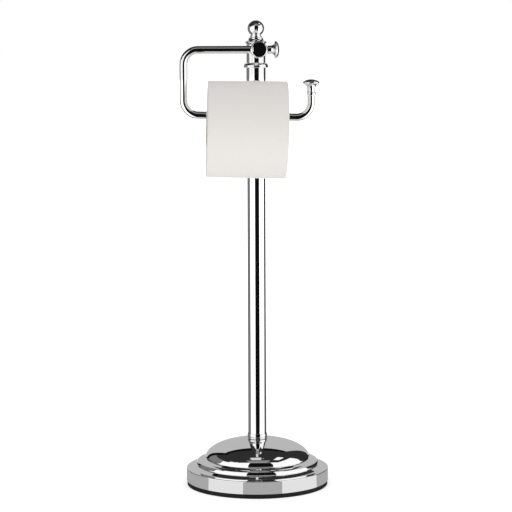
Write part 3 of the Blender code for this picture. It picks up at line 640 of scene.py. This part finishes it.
# %% Turn the cap
cap_low, cap_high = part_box("head_cap")
cap_radius = cap_high.x
cap_shoulder = cap_low.z + 2.6 * MM
cap_round = 0.9 * MM
cone_foot = Vector((cap_radius - cap_round, cap_shoulder + cap_round))
cone_top = Vector((9.0 * MM, cap_high.z))
cone_depth = Vector((-0.8, -0.8)) * MM
cone = []
for step in range(13):
    share = step / 12
    spot = cone_top.lerp(cone_foot, share) + cone_depth * math.sin(math.pi * share)
    cone.append(tuple(spot))
cap_profile = [(finial_bore, cap_high.z)] + cone
cap_profile += arc((cap_radius - cap_round, cap_shoulder), (cap_round, cap_round), 90, -60, 10)[1:]
cap_profile += [(11.9 * MM, cap_low.z), (finial_bore, cap_low.z)]
cap_profile = soften(cap_profile, {1: 0.25 * MM})
cap = turn_profile(cap_profile, 160, hollow=True)
finish_piece("cap", cap, turned_chrome, "head_cap", sharp=40)

# %% Turn the ball with its neck and ring
finial_low, finial_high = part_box("finial")
ball_radius = finial_high.x
ball_half = 10.3 * MM
ball_z = finial_high.z - ball_half
neck_z = finial_low.z + 3.4 * MM
foot_angle = math.degrees(math.asin((ball_z - neck_z) / ball_half))
ball = arc((0, ball_z), (ball_radius, ball_half), 90, -foot_angle, 48)
neck = [(6.25 * MM, finial_low.z + 2.9 * MM), (6.7 * MM, finial_low.z + 2.4 * MM)]
foot_radius = 7.6 * MM
bore_top = finial_low.z + 10.5 * MM
ball_profile = ball + neck + [
    (foot_radius, finial_low.z + 1.7 * MM),
    (foot_radius, finial_low.z),
    (finial_bore, finial_low.z),
    (finial_bore, bore_top),
    (0, bore_top),
]
ball_profile = soften(ball_profile, {51: 0.5 * MM, 52: 0.5 * MM})
ball_shape = turn_profile(ball_profile, 160)
finish_piece("ball_finial", ball_shape, turned_chrome, "finial", sharp=40)

# %% [markdown]
# ## The post and its boss
#
# A short post stands out towards the viewer and ends in a boss, whose domed face is the
# darkest spot of the whole stand. The post is turned about its own length, laid along -Y,
# and then cross bored for the rod and, from below, for the screw that locks the rod.

# %% Turn the post, lay it down and bore it
post_low, post_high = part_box("arm_post")
post_front = -post_low.y
boss_y = post_front - 9.5 * MM
boss_radius = post_high.x
boss_back = boss_y - 9.5 * MM
face_radius = 8.7 * MM
face_curve = 33.0 * MM
face_turn = math.degrees(math.asin(face_radius / face_curve))
post_profile = arc((0, post_front - face_curve), (face_curve, face_curve), 90, 90 - face_turn, 10)
edge_z = post_profile[-1][1] - 2.0 * MM
post_profile += arc((face_radius, edge_z), (boss_radius - face_radius, 2.0 * MM), 75, 0, 9)
back_round = 4.5 * MM
post_profile += arc(
    (boss_radius - back_round, boss_back + back_round), (back_round, back_round), 0, -78, 10
)
post_start = -post_high.y
post_neck = 5.0 * MM
post_foot = 6.5 * MM
bore_end = post_start + 10.5 * MM
post_profile += [
    (post_neck, boss_back - 1.6 * MM),
    (post_neck, post_start + 6.0 * MM),
    (post_foot, post_start + 3.0 * MM),
    (post_foot, post_start),
    (post_bore, post_start),
    (post_bore, bore_end),
    (0, bore_end),
]
count = len(post_profile)
neck_rounds = {7: 1.2 * MM, 6: 1.5 * MM, 5: 0.6 * MM, 4: 0.3 * MM}
post_profile = soften(
    post_profile, {count - place: radius for place, radius in neck_rounds.items()}
)
joint_gap = 0.3 * MM
rod_radius = 4.7 * MM
bore_radius = rod_radius + joint_gap


def bar(radius, length, segments=96):
    """A plain round bar that stands on the origin, used as a cutter."""
    return turn_profile([(0, length), (radius, length), (radius, 0), (0, 0)], segments)


post = place_shape(turn_profile(post_profile, 160), (0, 0, arm_z), TOWARDS_FRONT)
cross_bore = place_shape(bar(bore_radius, 30 * MM), (-15 * MM, -boss_y, arm_z), TOWARDS_RIGHT)
post = cut(post, cross_bore)
screw_bore = place_shape(bar(2.8 * MM, 15 * MM, 64), (0, -boss_y, arm_z - 15 * MM))
post = cut(post, screw_bore)
finish_piece("post", post, turned_chrome, "arm_post", sharp=40)

# %% Turn the locking screw and sink its hexagon socket
screw_low, screw_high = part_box("arm_grub_screw")
screw_profile = [
    (0, screw_high.z),
    (1.6 * MM, screw_high.z),
    (2.5 * MM, screw_high.z - 0.9 * MM),
    (2.5 * MM, screw_low.z),
    (0, screw_low.z),
]
screw_profile = soften(screw_profile, {3: 0.3 * MM})
socket = place_shape(bar(1.44 * MM, 5 * MM, 6), (0, 0, screw_low.z - 2.6 * MM))
screw = cut(turn_profile(screw_profile, 64), socket)
place_shape(screw, (0, -boss_y, 0))
finish_piece("locking_screw", screw, zinc_steel, "arm_grub_screw")

# %% [markdown]
# ## The bent rod
#
# The arm is one round bar that a bender folded three times in one plane. It is made here
# in the same order: a ring of vertices is extruded along each straight and spun round
# the centre of each bend. At both ends it steps down to a thin stub, which is what the
# knobs are pushed on to. The lower run falls slightly to the right, as the real one does.

# %% Follow the route of the rod in the plane of the arm
end_low, end_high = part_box("end_knob")
slope_angle = math.radians(1.5)
bend_radius = 18 * MM
left_x = -93.2 * MM
right_x = (end_low.x + end_high.x) / 2
lower_z = arm_z - 81.7 * MM
slope_middle = -15.5 * MM
stub_length = 8.5 * MM
knob_x = boss_radius + joint_gap


def lower_run_z(x):
    """Height of the lower run's middle at a place along X."""
    return lower_z - (x - slope_middle) * math.tan(slope_angle)


print("rod: left leg", round(left_x / MM, 2), "right leg", round(right_x / MM, 2), "mm")


# %% The bender: straights and bends that carry one ring of edges along
def carry_straight(shape, ring, move):
    """Extrude a ring of edges and move the new one."""
    made = bmesh.ops.extrude_edge_only(shape, edges=ring)["geom"]
    verts = [item for item in made if isinstance(item, bmesh.types.BMVert)]
    bmesh.ops.translate(shape, verts=verts, vec=move)
    return [item for item in made if isinstance(item, bmesh.types.BMEdge) and item.is_boundary]


def carry_bend(shape, ring, centre, angle):
    """Spin a ring of edges about an axis through the bend's centre."""
    verts = list({vert for edge in ring for vert in edge.verts})
    made = bmesh.ops.spin(
        shape, geom=verts + ring, cent=centre, axis=(0, -1, 0), dvec=(0, 0, 0),
        angle=angle, steps=24,
    )["geom_last"]
    return [item for item in made if isinstance(item, bmesh.types.BMEdge)]


def carry_step(shape, ring, middle, share, move):
    """Extrude a ring, scale the new one about its middle, and move it along."""
    ring = carry_straight(shape, ring, move)
    verts = list({vert for edge in ring for vert in edge.verts})
    bmesh.ops.scale(
        shape, verts=verts, vec=(share, share, share), space=Matrix.Translation(-(middle + move))
    )
    return ring


# %% Bend the rod
def bend_rod():
    """Carry one ring from the knob at the boss to the tip under the end knob."""
    shape = bmesh.new()
    stub_radius = 3.0 * MM
    stub_share = stub_radius / rod_radius
    step_length = 0.2 * MM
    tip = Vector((knob_x - joint_gap + stub_length, -boss_y, arm_z))
    bmesh.ops.create_circle(
        shape, cap_ends=True, radius=stub_radius, segments=64,
        matrix=Matrix.Translation(tip) @ TOWARDS_RIGHT,
    )
    ring = list(shape.edges)
    ring = carry_straight(shape, ring, Vector((-stub_length, 0, 0)))
    shoulder = tip - Vector((stub_length, 0, 0))
    ring = carry_step(shape, ring, shoulder, 1 / stub_share, Vector((-step_length, 0, 0)))
    here = shoulder - Vector((step_length, 0, 0))
    first_bend = Vector((left_x + bend_radius, -boss_y, arm_z))
    ring = carry_straight(shape, ring, first_bend - here)
    ring = carry_bend(shape, ring, first_bend - Vector((0, 0, bend_radius)), QUARTER)
    here = Vector((left_x, -boss_y, arm_z - bend_radius))

    turn = QUARTER - slope_angle
    corner = Vector((left_x, -boss_y, lower_run_z(left_x)))
    start = corner + Vector((0, 0, bend_radius * math.tan(turn / 2)))
    ring = carry_straight(shape, ring, start - here)
    ring = carry_bend(shape, ring, start + Vector((bend_radius, 0, 0)), turn)
    along = Vector((math.cos(slope_angle), 0, -math.sin(slope_angle)))
    here = corner + along * bend_radius * math.tan(turn / 2)

    turn = QUARTER + slope_angle
    corner = Vector((right_x, -boss_y, lower_run_z(right_x)))
    start = corner - along * bend_radius * math.tan(turn / 2)
    above = Vector((math.sin(slope_angle), 0, math.cos(slope_angle)))
    ring = carry_straight(shape, ring, start - here)
    ring = carry_bend(shape, ring, start + above * bend_radius, turn)
    here = corner + Vector((0, 0, bend_radius * math.tan(turn / 2)))

    step_up = Vector((0, 0, step_length))
    shoulder = Vector((right_x, -boss_y, end_low.z - joint_gap)) - step_up
    ring = carry_straight(shape, ring, shoulder - here)
    ring = carry_step(shape, ring, shoulder, stub_share, step_up)
    ring = carry_straight(shape, ring, Vector((0, 0, stub_length)))
    bmesh.ops.contextual_create(shape, geom=ring)
    bmesh.ops.recalc_face_normals(shape, faces=shape.faces)
    return shape


finish_piece("bent_rod", bend_rod(), drawn_chrome, "arm_rod", sharp=40)

# %% [markdown]
# ## The trumpet knobs
#
# Both ends of the rod wear the same knob: a spindle that flares to a thin lip and a
# softly domed face. The one on the upturned end has a bead at its foot.

# %% Turn the two knobs
lip_radius = 10.6 * MM
spindle_radius = 5.0 * MM
knob_bore = 3.3 * MM
bore_depth = stub_length + 0.5 * MM


def knob_profile(start, flare):
    """A knob from the middle of its face down to the top of its spindle."""
    lip = start + flare
    face = arc((0, lip + 0.8 * MM), (lip_radius, 4.8 * MM), 90, 6, 20)
    edge = arc((lip_radius - 0.6 * MM, lip + 0.6 * MM), (0.6 * MM, 0.6 * MM), 20, -75, 7)
    run = lip_radius - spindle_radius
    hollow = arc((lip_radius, start), (run, flare), 98, 180, 18)
    return face + edge + hollow


knob_socket = [(knob_bore, 0), (knob_bore, bore_depth), (0, bore_depth)]
top_profile = knob_profile(3.4 * MM, 5.6 * MM) + [(spindle_radius, 0)] + knob_socket
boss_knob = turn_profile(soften(top_profile, {len(top_profile) - 4: 0.3 * MM}), 128)
place_shape(boss_knob, (knob_x, -boss_y, arm_z), TOWARDS_RIGHT)
finish_piece("boss_knob", boss_knob, turned_chrome, "top_knob", sharp=40)

bead = arc((spindle_radius, 2.3 * MM), (0.8 * MM, 2.3 * MM), 90, -90, 14)
end_profile = knob_profile(7.2 * MM, 7.4 * MM) + bead + knob_socket
tip_knob = place_shape(turn_profile(end_profile, 128), (right_x, -boss_y, end_low.z))
finish_piece("tip_knob", tip_knob, turned_chrome, "end_knob", sharp=40)

# %% [markdown]
# ## The roll
#
# The roll hangs on the lower run by its cardboard tube and turns as one body. Real tissue
# is wound loosely: its outside is not quite round and a little pressed on top, its edges
# are soft, and the ends show the plies as fine rings that wander. The outside starts as a
# turned shape round the roll's own axis, and smooth waves then move its points. The last
# ply is a strip of its own with real thickness. It leaves the roll in front, hangs a
# little free at the bottom, and its end is torn along the perforation.

# %% The frame of the roll's axis
roll_joint = frame["record"]["behaviour"]["joints"][0]
roll_centre = Vector(roll_joint["pos_m"])
roll_tilt = QUARTER + slope_angle
roll_frame = Matrix.Translation(roll_centre) @ Matrix.Rotation(roll_tilt, 4, "Y")
print("roll turns about", [round(value, 4) for value in roll_frame.col[2][:3]])


# %% Coordinates in the roll's frame, as nodes
def roll_coordinates(tree):
    """Distance from the roll's axis, angle round it and place along it."""
    frame_sockets = {
        "Vector": object_coordinates(tree),
        "Location": roll_centre, "Rotation": (0, roll_tilt, 0),
    }
    seen = add_node(tree, "Mapping", frame_sockets, vector_type="TEXTURE").outputs["Vector"]
    parts = add_node(tree, "SeparateXYZ", {"Vector": seen}).outputs
    flat = add_node(tree, "CombineXYZ", {"X": parts["X"], "Y": parts["Y"]}).outputs["Vector"]
    length = add_node(tree, "VectorMath", {0: flat}, operation="LENGTH").outputs["Value"]
    angle = calculate(tree, "ARCTAN2", parts["Y"], parts["X"])
    return length, angle, parts["Z"]


# %% Tissue: warm white pulp with crepe lines along the roll
tissue, tree, shader = start_finish("white_tissue", (0.90, 0.872, 0.832), 0.95)
tint = place_group(
    tree, pulp_fibres, Fibre_Scale=1100.0,
    Light=(0.90, 0.875, 0.842, 1), Dark=(0.86, 0.832, 0.797, 1),
)
tree.links.new(tint, shader.inputs["Base Color"])
length, angle, along = roll_coordinates(tree)
stretched = {
    axis: calculate(tree, "MULTIPLY", value, share)
    for axis, value, share in (("X", angle, 0.12), ("Y", length, 3.0), ("Z", along, 0.15))
}
crepe_place = add_node(tree, "CombineXYZ", stretched).outputs["Vector"]
add_bump(tree, shader, noise(tree, crepe_place, 900, 3), 0.35, 0.0003)
shader.inputs["Sheen Weight"].default_value = 0.15
shader.inputs["Sheen Roughness"].default_value = 0.6
print("finish:", tissue.name)

# %% Wind the paper
paper_radius = 60.5 * MM
paper_bore = 22.3 * MM
paper_half = 49.3 * MM
edge_round = 1.1 * MM
ring_count = 34
press_depth = 1.0 * MM
press_taper = 0.8


def paper_profile():
    """The paper's outline: bore, ringed ends and soft outer edges."""
    end = []
    for step in range(1, ring_count):
        radius = paper_bore + (paper_radius - edge_round - paper_bore) * step / ring_count
        end.append((radius, paper_half))
    outer = arc(
        (paper_radius - edge_round, paper_half - edge_round), (edge_round, edge_round), 90, 0, 6
    )
    side = [(paper_radius, paper_half * (1 - 2 * step / 24)) for step in range(2, 23)]
    top = [(paper_bore, paper_half)] + end + outer
    bottom = [(radius, -height) for radius, height in reversed(top)]
    return top + side + bottom


def wander(vert):
    """Move a point of the wound paper: rippled ends, uneven outside, pressed upper side."""
    co = vert.co
    radius = math.hypot(co.x, co.y)
    angle = math.atan2(co.y, co.x)
    if radius < paper_bore + 0.1 * MM:
        return
    ripple = math.sin(radius / MM * 1.9 + 0.7 * math.sin(angle * 2)) * 0.10
    ripple += math.sin(radius / MM * 0.63 + angle) * 0.12
    if abs(co.z) > paper_half - edge_round:
        co.z -= math.copysign((0.22 + ripple) * MM, co.z)
    if radius > paper_radius - edge_round - 0.1 * MM:
        soft = 0.10 * math.sin(angle * 3 + co.z * 18) + 0.08 * math.sin(angle * 7 - co.z * 40)
        share = (radius - (0.18 - soft) * MM) / radius
        co.x *= share
        co.y *= share
    if radius > 0.5 * paper_radius:
        upper = max(0.0, -math.cos(angle)) ** 1.5 * (radius / paper_radius) ** 2
        co.x += press_depth * (1 - press_taper * co.z / paper_half) * upper


paper = turn_profile(paper_profile(), 240, hollow=True)
for vert in paper.verts:
    wander(vert)
print("wound paper:", len(paper.verts), "vertices")

# %% The free end of the last ply
ply_thickness = 0.25 * MM
flap_start = math.radians(-85)
flap_end = math.radians(-15)
flap_rise = 1.5 * MM
corner_drop = 0.4 * MM


def flap_point(share, along):
    """A point of the last ply, whose free end lifts, a little less at its left corner."""
    angle = flap_start + (flap_end - flap_start) * share
    ease = share * share * (3 - 2 * share)
    corner = max(0, share - 0.8) / 0.2 * max(0, -along / paper_half - 0.55) / 0.45
    radius = paper_radius - 0.1 * MM + flap_rise * ease - corner_drop * corner
    return Vector((radius * math.cos(angle), radius * math.sin(angle), along))


flap = bmesh.new()
bmesh.ops.create_grid(flap, x_segments=30, y_segments=60, size=1)
for vert in flap.verts:
    share = (vert.co.x + 1) / 2
    along = vert.co.y * (paper_half - 0.4 * MM)
    tooth = 0.006 * math.cos(vert.co.y * math.pi * 30) if share > 0.99 else 0
    vert.co = flap_point(share + tooth, along)
bmesh.ops.recalc_face_normals(flap, faces=flap.faces)
flap_geometry = flap.faces[:] + flap.edges[:] + flap.verts[:]
bmesh.ops.solidify(flap, geom=flap_geometry, thickness=ply_thickness)
bmesh.ops.recalc_face_normals(flap, faces=flap.faces)
flap_mesh = bpy.data.meshes.new("flap")
flap.to_mesh(flap_mesh)
flap.free()
paper.from_mesh(flap_mesh)
bpy.data.meshes.remove(flap_mesh)
place_shape(paper, (0, 0, 0), roll_frame)
finish_piece("wound_paper", paper, tissue, "paper_roll", "roll", 50)

# %% Cardboard: grey brown pulp, darker and sunk along the joint of its spiral strip
cardboard, tree, shader = start_finish("grey_cardboard", (0.56, 0.50, 0.43), 0.85)
tint = place_group(
    tree, pulp_fibres, Fibre_Scale=500.0,
    Light=(0.60, 0.54, 0.47, 1), Dark=(0.46, 0.40, 0.34, 1),
)
strip_pitch = 60 * MM
angle, along = roll_coordinates(tree)[1:]
pitches = calculate(tree, "MULTIPLY", along, 1 / strip_pitch)
turns = calculate(tree, "MULTIPLY", angle, 1 / FULL_TURN)
spiral = calculate(tree, "ADD", pitches, turns)
from_joint = calculate(tree, "PINGPONG", spiral, 0.5)
seam = remap(tree, from_joint, (0.004, 0.016))
seam_shade = remap(tree, seam, target=(0.6, 1))
shade_sockets = {"Factor": 1, "A": tint, "B": seam_shade}
shaded = add_node(tree, "Mix", shade_sockets, data_type="RGBA", blend_type="MULTIPLY")
tree.links.new(shaded.outputs["Result"], shader.inputs["Base Color"])
add_bump(tree, shader, seam, 0.6, 0.0004)

# %% Wind the core
core_half = 49.5 * MM
core_profile = tube_profile(22.0 * MM, 21.0 * MM, core_half, -core_half)
core_profile = soften(core_profile, {place: 0.25 * MM for place in range(4)})
core = place_shape(turn_profile(core_profile, 160, hollow=True), (0, 0, 0), roll_frame)
finish_piece("cardboard_core", core, cardboard, "roll_core", "roll", 50)

# %% [markdown]
# ## The studio
#
# A chromed object looks like the room around it, so the room is built as a product
# photographer does it: white on all sides, and a few dark or grey cards that draw the
# lines. The cards are only seen by reflections. They cast no shadow and no light, and the
# camera looks through them. The white comes from the world at a strength of one. Two
# large soft lamps in front and a low one that faces up light what isn't mirror.

# %% World: white for the camera and for reflections, dimmer as a light
world = bpy.data.worlds.new("studio")
bpy.context.scene.world = world
world.use_nodes = True
bpy.context.scene.view_settings.view_transform = "Standard"


def ray_mask(tree):
    """One where the ray comes from the camera, a reflection or a clear material."""
    path = add_node(tree, "LightPath").outputs
    seen = calculate(tree, "MAXIMUM", path["Is Camera Ray"], path["Is Glossy Ray"])
    return calculate(tree, "MAXIMUM", seen, path["Is Transmission Ray"])


world_light = 0.72
world_tree = world.node_tree
backdrop = world_tree.nodes["Background"]
backdrop.inputs["Color"].default_value = (1, 1, 1, 1)
level = remap(world_tree, ray_mask(world_tree), target=(world_light, 1))
world_tree.links.new(level, backdrop.inputs["Strength"])

# %% Three square soft lamps: name, place, what it faces, width in metres, watts
lamps = (
    ("left_lamp", (-1.3, -1.7, 0.75), (0, 0, 0.35), 1.3, 3.6),
    ("right_lamp", (1.3, -1.7, 0.75), (0, 0, 0.35), 1.3, 2.5),
    ("low_lamp", (0, -0.56, 0.02), (0, -0.56, 1.0), 0.9, 1.5),
)
for name, spot, target, width, watts in lamps:
    light = bpy.data.lights.new(name, "AREA")
    light.shape = "SQUARE"
    light.size = width
    light.energy = watts
    lamp = bpy.data.objects.new(name, light)
    bpy.context.scene.collection.objects.link(lamp)
    lamp.location = spot
    lamp.rotation_euler = (Vector(target) - Vector(spot)).to_track_quat("-Z", "Y").to_euler()
    lamp.visible_glossy = False
    lamp.visible_camera = False
    print(name, watts, "watts")

# %% Floor: pale and matt, with its shadow near the stand and plain white far away
floor_glow = 0.50
floor_finish, tree, shader = start_finish("studio_floor", (0.85, 0.85, 0.85), 1.0)
shader.inputs["Specular IOR Level"].default_value = 0
reach = add_node(tree, "VectorMath", {0: object_coordinates(tree)}, operation="LENGTH")
far = remap(tree, reach.outputs["Value"], (0.3, 2.0), interpolation_type="SMOOTHSTEP")
glow = remap(tree, far, target=(floor_glow, 1))
seen = calculate(tree, "MULTIPLY", glow, ray_mask(tree))
shader.inputs["Emission Color"].default_value = (1, 1, 1, 1)
tree.links.new(seen, shader.inputs["Emission Strength"])

floor_shape = bmesh.new()
bmesh.ops.create_circle(floor_shape, cap_ends=True, radius=150, segments=96)
floor = to_object("floor", floor_shape, floor_finish)
print("floor at z = 0, radius 150 m")


# %% Cards that only reflections see
def card_finish(name, grey):
    """A plain glowing grey."""
    material = bpy.data.materials.new(name)
    material.use_nodes = True
    tree = material.node_tree
    tree.nodes.clear()
    glow = add_node(tree, "Emission", {"Color": (grey, grey, grey, 1)})
    add_node(tree, "OutputMaterial", {"Surface": glow.outputs["Emission"]})
    return material


def stage_card(name, shape, grey):
    """Put a card in the scene that neither the camera nor the light sees."""
    card = to_object(name, shape, card_finishes[grey])
    for rays in ("camera", "diffuse", "transmission", "shadow"):
        setattr(card, "visible_" + rays, False)


def flat_card(low_x, high_x, low_y, high_y, matrix):
    """A rectangle in its own plane, put in place by a matrix."""
    shape = bmesh.new()
    bmesh.ops.create_grid(shape, x_segments=1, y_segments=1, size=0.5)
    bmesh.ops.scale(shape, verts=shape.verts, vec=(high_x - low_x, high_y - low_y, 1))
    middle = Vector(((low_x + high_x) / 2, (low_y + high_y) / 2, 0))
    return place_shape(shape, (0, 0, 0), matrix @ Matrix.Translation(middle))


def spun_card(inner, outer, start, end, foot, top):
    """A strip of floor or wall spun about the pole, from one angle to another.

    Angles are in degrees, from the front towards the right.
    """
    shape = bmesh.new()
    turn = Matrix.Rotation(math.radians(start), 3, "Z")
    first = shape.verts.new(turn @ Vector((0, -inner, foot)))
    last = shape.verts.new(turn @ Vector((0, -outer, top)))
    edge = shape.edges.new((first, last))
    bmesh.ops.spin(
        shape, geom=[first, last, edge], cent=(0, 0, 0), axis=(0, 0, 1), dvec=(0, 0, 0),
        angle=math.radians(end - start), steps=40,
    )
    return shape


card_greys = {
    "black": 0.005, "dark": 0.027, "left_grey": 0.19, "patch_grey": 0.24,
    "floor_shade_grey": 0.40, "light_grey": 0.49, "near_white": 0.785, "white": 1.0,
}
card_finishes = {name: card_finish("card_" + name, grey) for name, grey in card_greys.items()}

# %% Flat cards: a black one in front, and the ceiling with its edges in x and y and its height
upright = Matrix.Translation((0, -2.0, 0)) @ Matrix.Rotation(QUARTER, 4, "X")
stage_card("front_card", flat_card(-0.82, 1.26, 0.0, 2.4, upright), "black")
ceiling_cards = (
    ("ceiling_patch", (-0.8, 0.85, -1.9, -0.7), 2.4, "patch_grey"),
    ("ceiling_front_left", (-2.3, -0.8, -1.9, -0.7), 2.4, "dark"),
    ("ceiling_front_right", (0.85, 2.3, -1.9, -0.7), 2.4, "dark"),
    ("ceiling_card", (-2.3, 2.3, -0.7, 1.85), 2.4, "dark"),
    ("ceiling_rear", (-2.3, 2.3, 1.85, 2.05), 2.4, "black"),
    ("ceiling_slot", (1.0, 1.5, -0.5, 0.4), 2.38, "white"),
)
for name, edges, height, grey in ceiling_cards:
    stage_card(name, flat_card(*edges, Matrix.Translation((0, 0, height))), grey)

# %% Walls: radius, first and last angle, foot and top
wall_cards = (
    ("right_wall", 2.0, 104, 150, 0, 2.4, "dark"),
    ("rear_wall", 2.0, 150, 212, 0, 1.96, "light_grey"),
    ("corner_wall", 2.0, 212, 224, 0, 2.4, "black"),
    ("left_wall", 2.0, 224, 271, 0, 1.3, "left_grey"),
    ("rear_header", 2.02, 150, 212, 1.9, 2.4, "black"),
    ("left_header", 2.02, 224, 272, 1.2, 2.4, "dark"),
    ("window_header", 2.3, 270, 287, 1.2, 2.4, "dark"),
    ("window_header_front", 2.3, 287, 302, 1.75, 2.4, "dark"),
)
for name, radius, start, end, foot, top, grey in wall_cards:
    stage_card(name, spun_card(radius, radius, start, end, foot, top), grey)

# %% Floor cards: centre, both radii, first and last angle, and millimetres over the floor
floor_cards = (
    ("right_floor", (0, 0), 0.30, 2.0, 104, 150, 0.4, "dark"),
    ("rear_floor", (0, 0), 0.30, 2.0, 150, 212, 0.4, "light_grey"),
    ("corner_floor", (0, 0), 0.30, 2.0, 212, 224, 0.4, "black"),
    ("left_floor", (0, 0), 0.30, 2.0, 224, 271, 0.4, "left_grey"),
    ("near_floor", (0, 0), 0.01, 0.30, -180, 180, 0.2, "near_white"),
    # The next two cards are painted shadow: grey sheets that draw the floor darker near the stand,
    # where its shadow falls, for the reflections only.
    ("near_floor_back", (0.056, -0.061), 0.02, 0.26, 108.8, 271.6, 0.3, "floor_shade_grey"),
    ("near_floor_front", (-0.003, -0.048), 0.03, 0.29, -25.4, 37.4, 0.5, "floor_shade_grey"),
    ("far_floor_front", (-0.003, -0.048), 0.29, 2.4, -23.5, 33.5, 0.5, "black"),
    ("dark_floor_right", (0, 0), 0.20, 0.31, 106, 150, 0.6, "black"),
    ("dark_floor_left", (0, 0), 0.20, 0.31, 212, 270, 0.6, "black"),
)
for name, centre, inner, outer, start, end, lift, grey in floor_cards:
    sector = spun_card(inner, outer, start, end, 0, 0)
    stage_card(name, place_shape(sector, (*centre, lift * MM)), grey)
print("cards:", 1 + len(ceiling_cards) + len(wall_cards) + len(floor_cards))
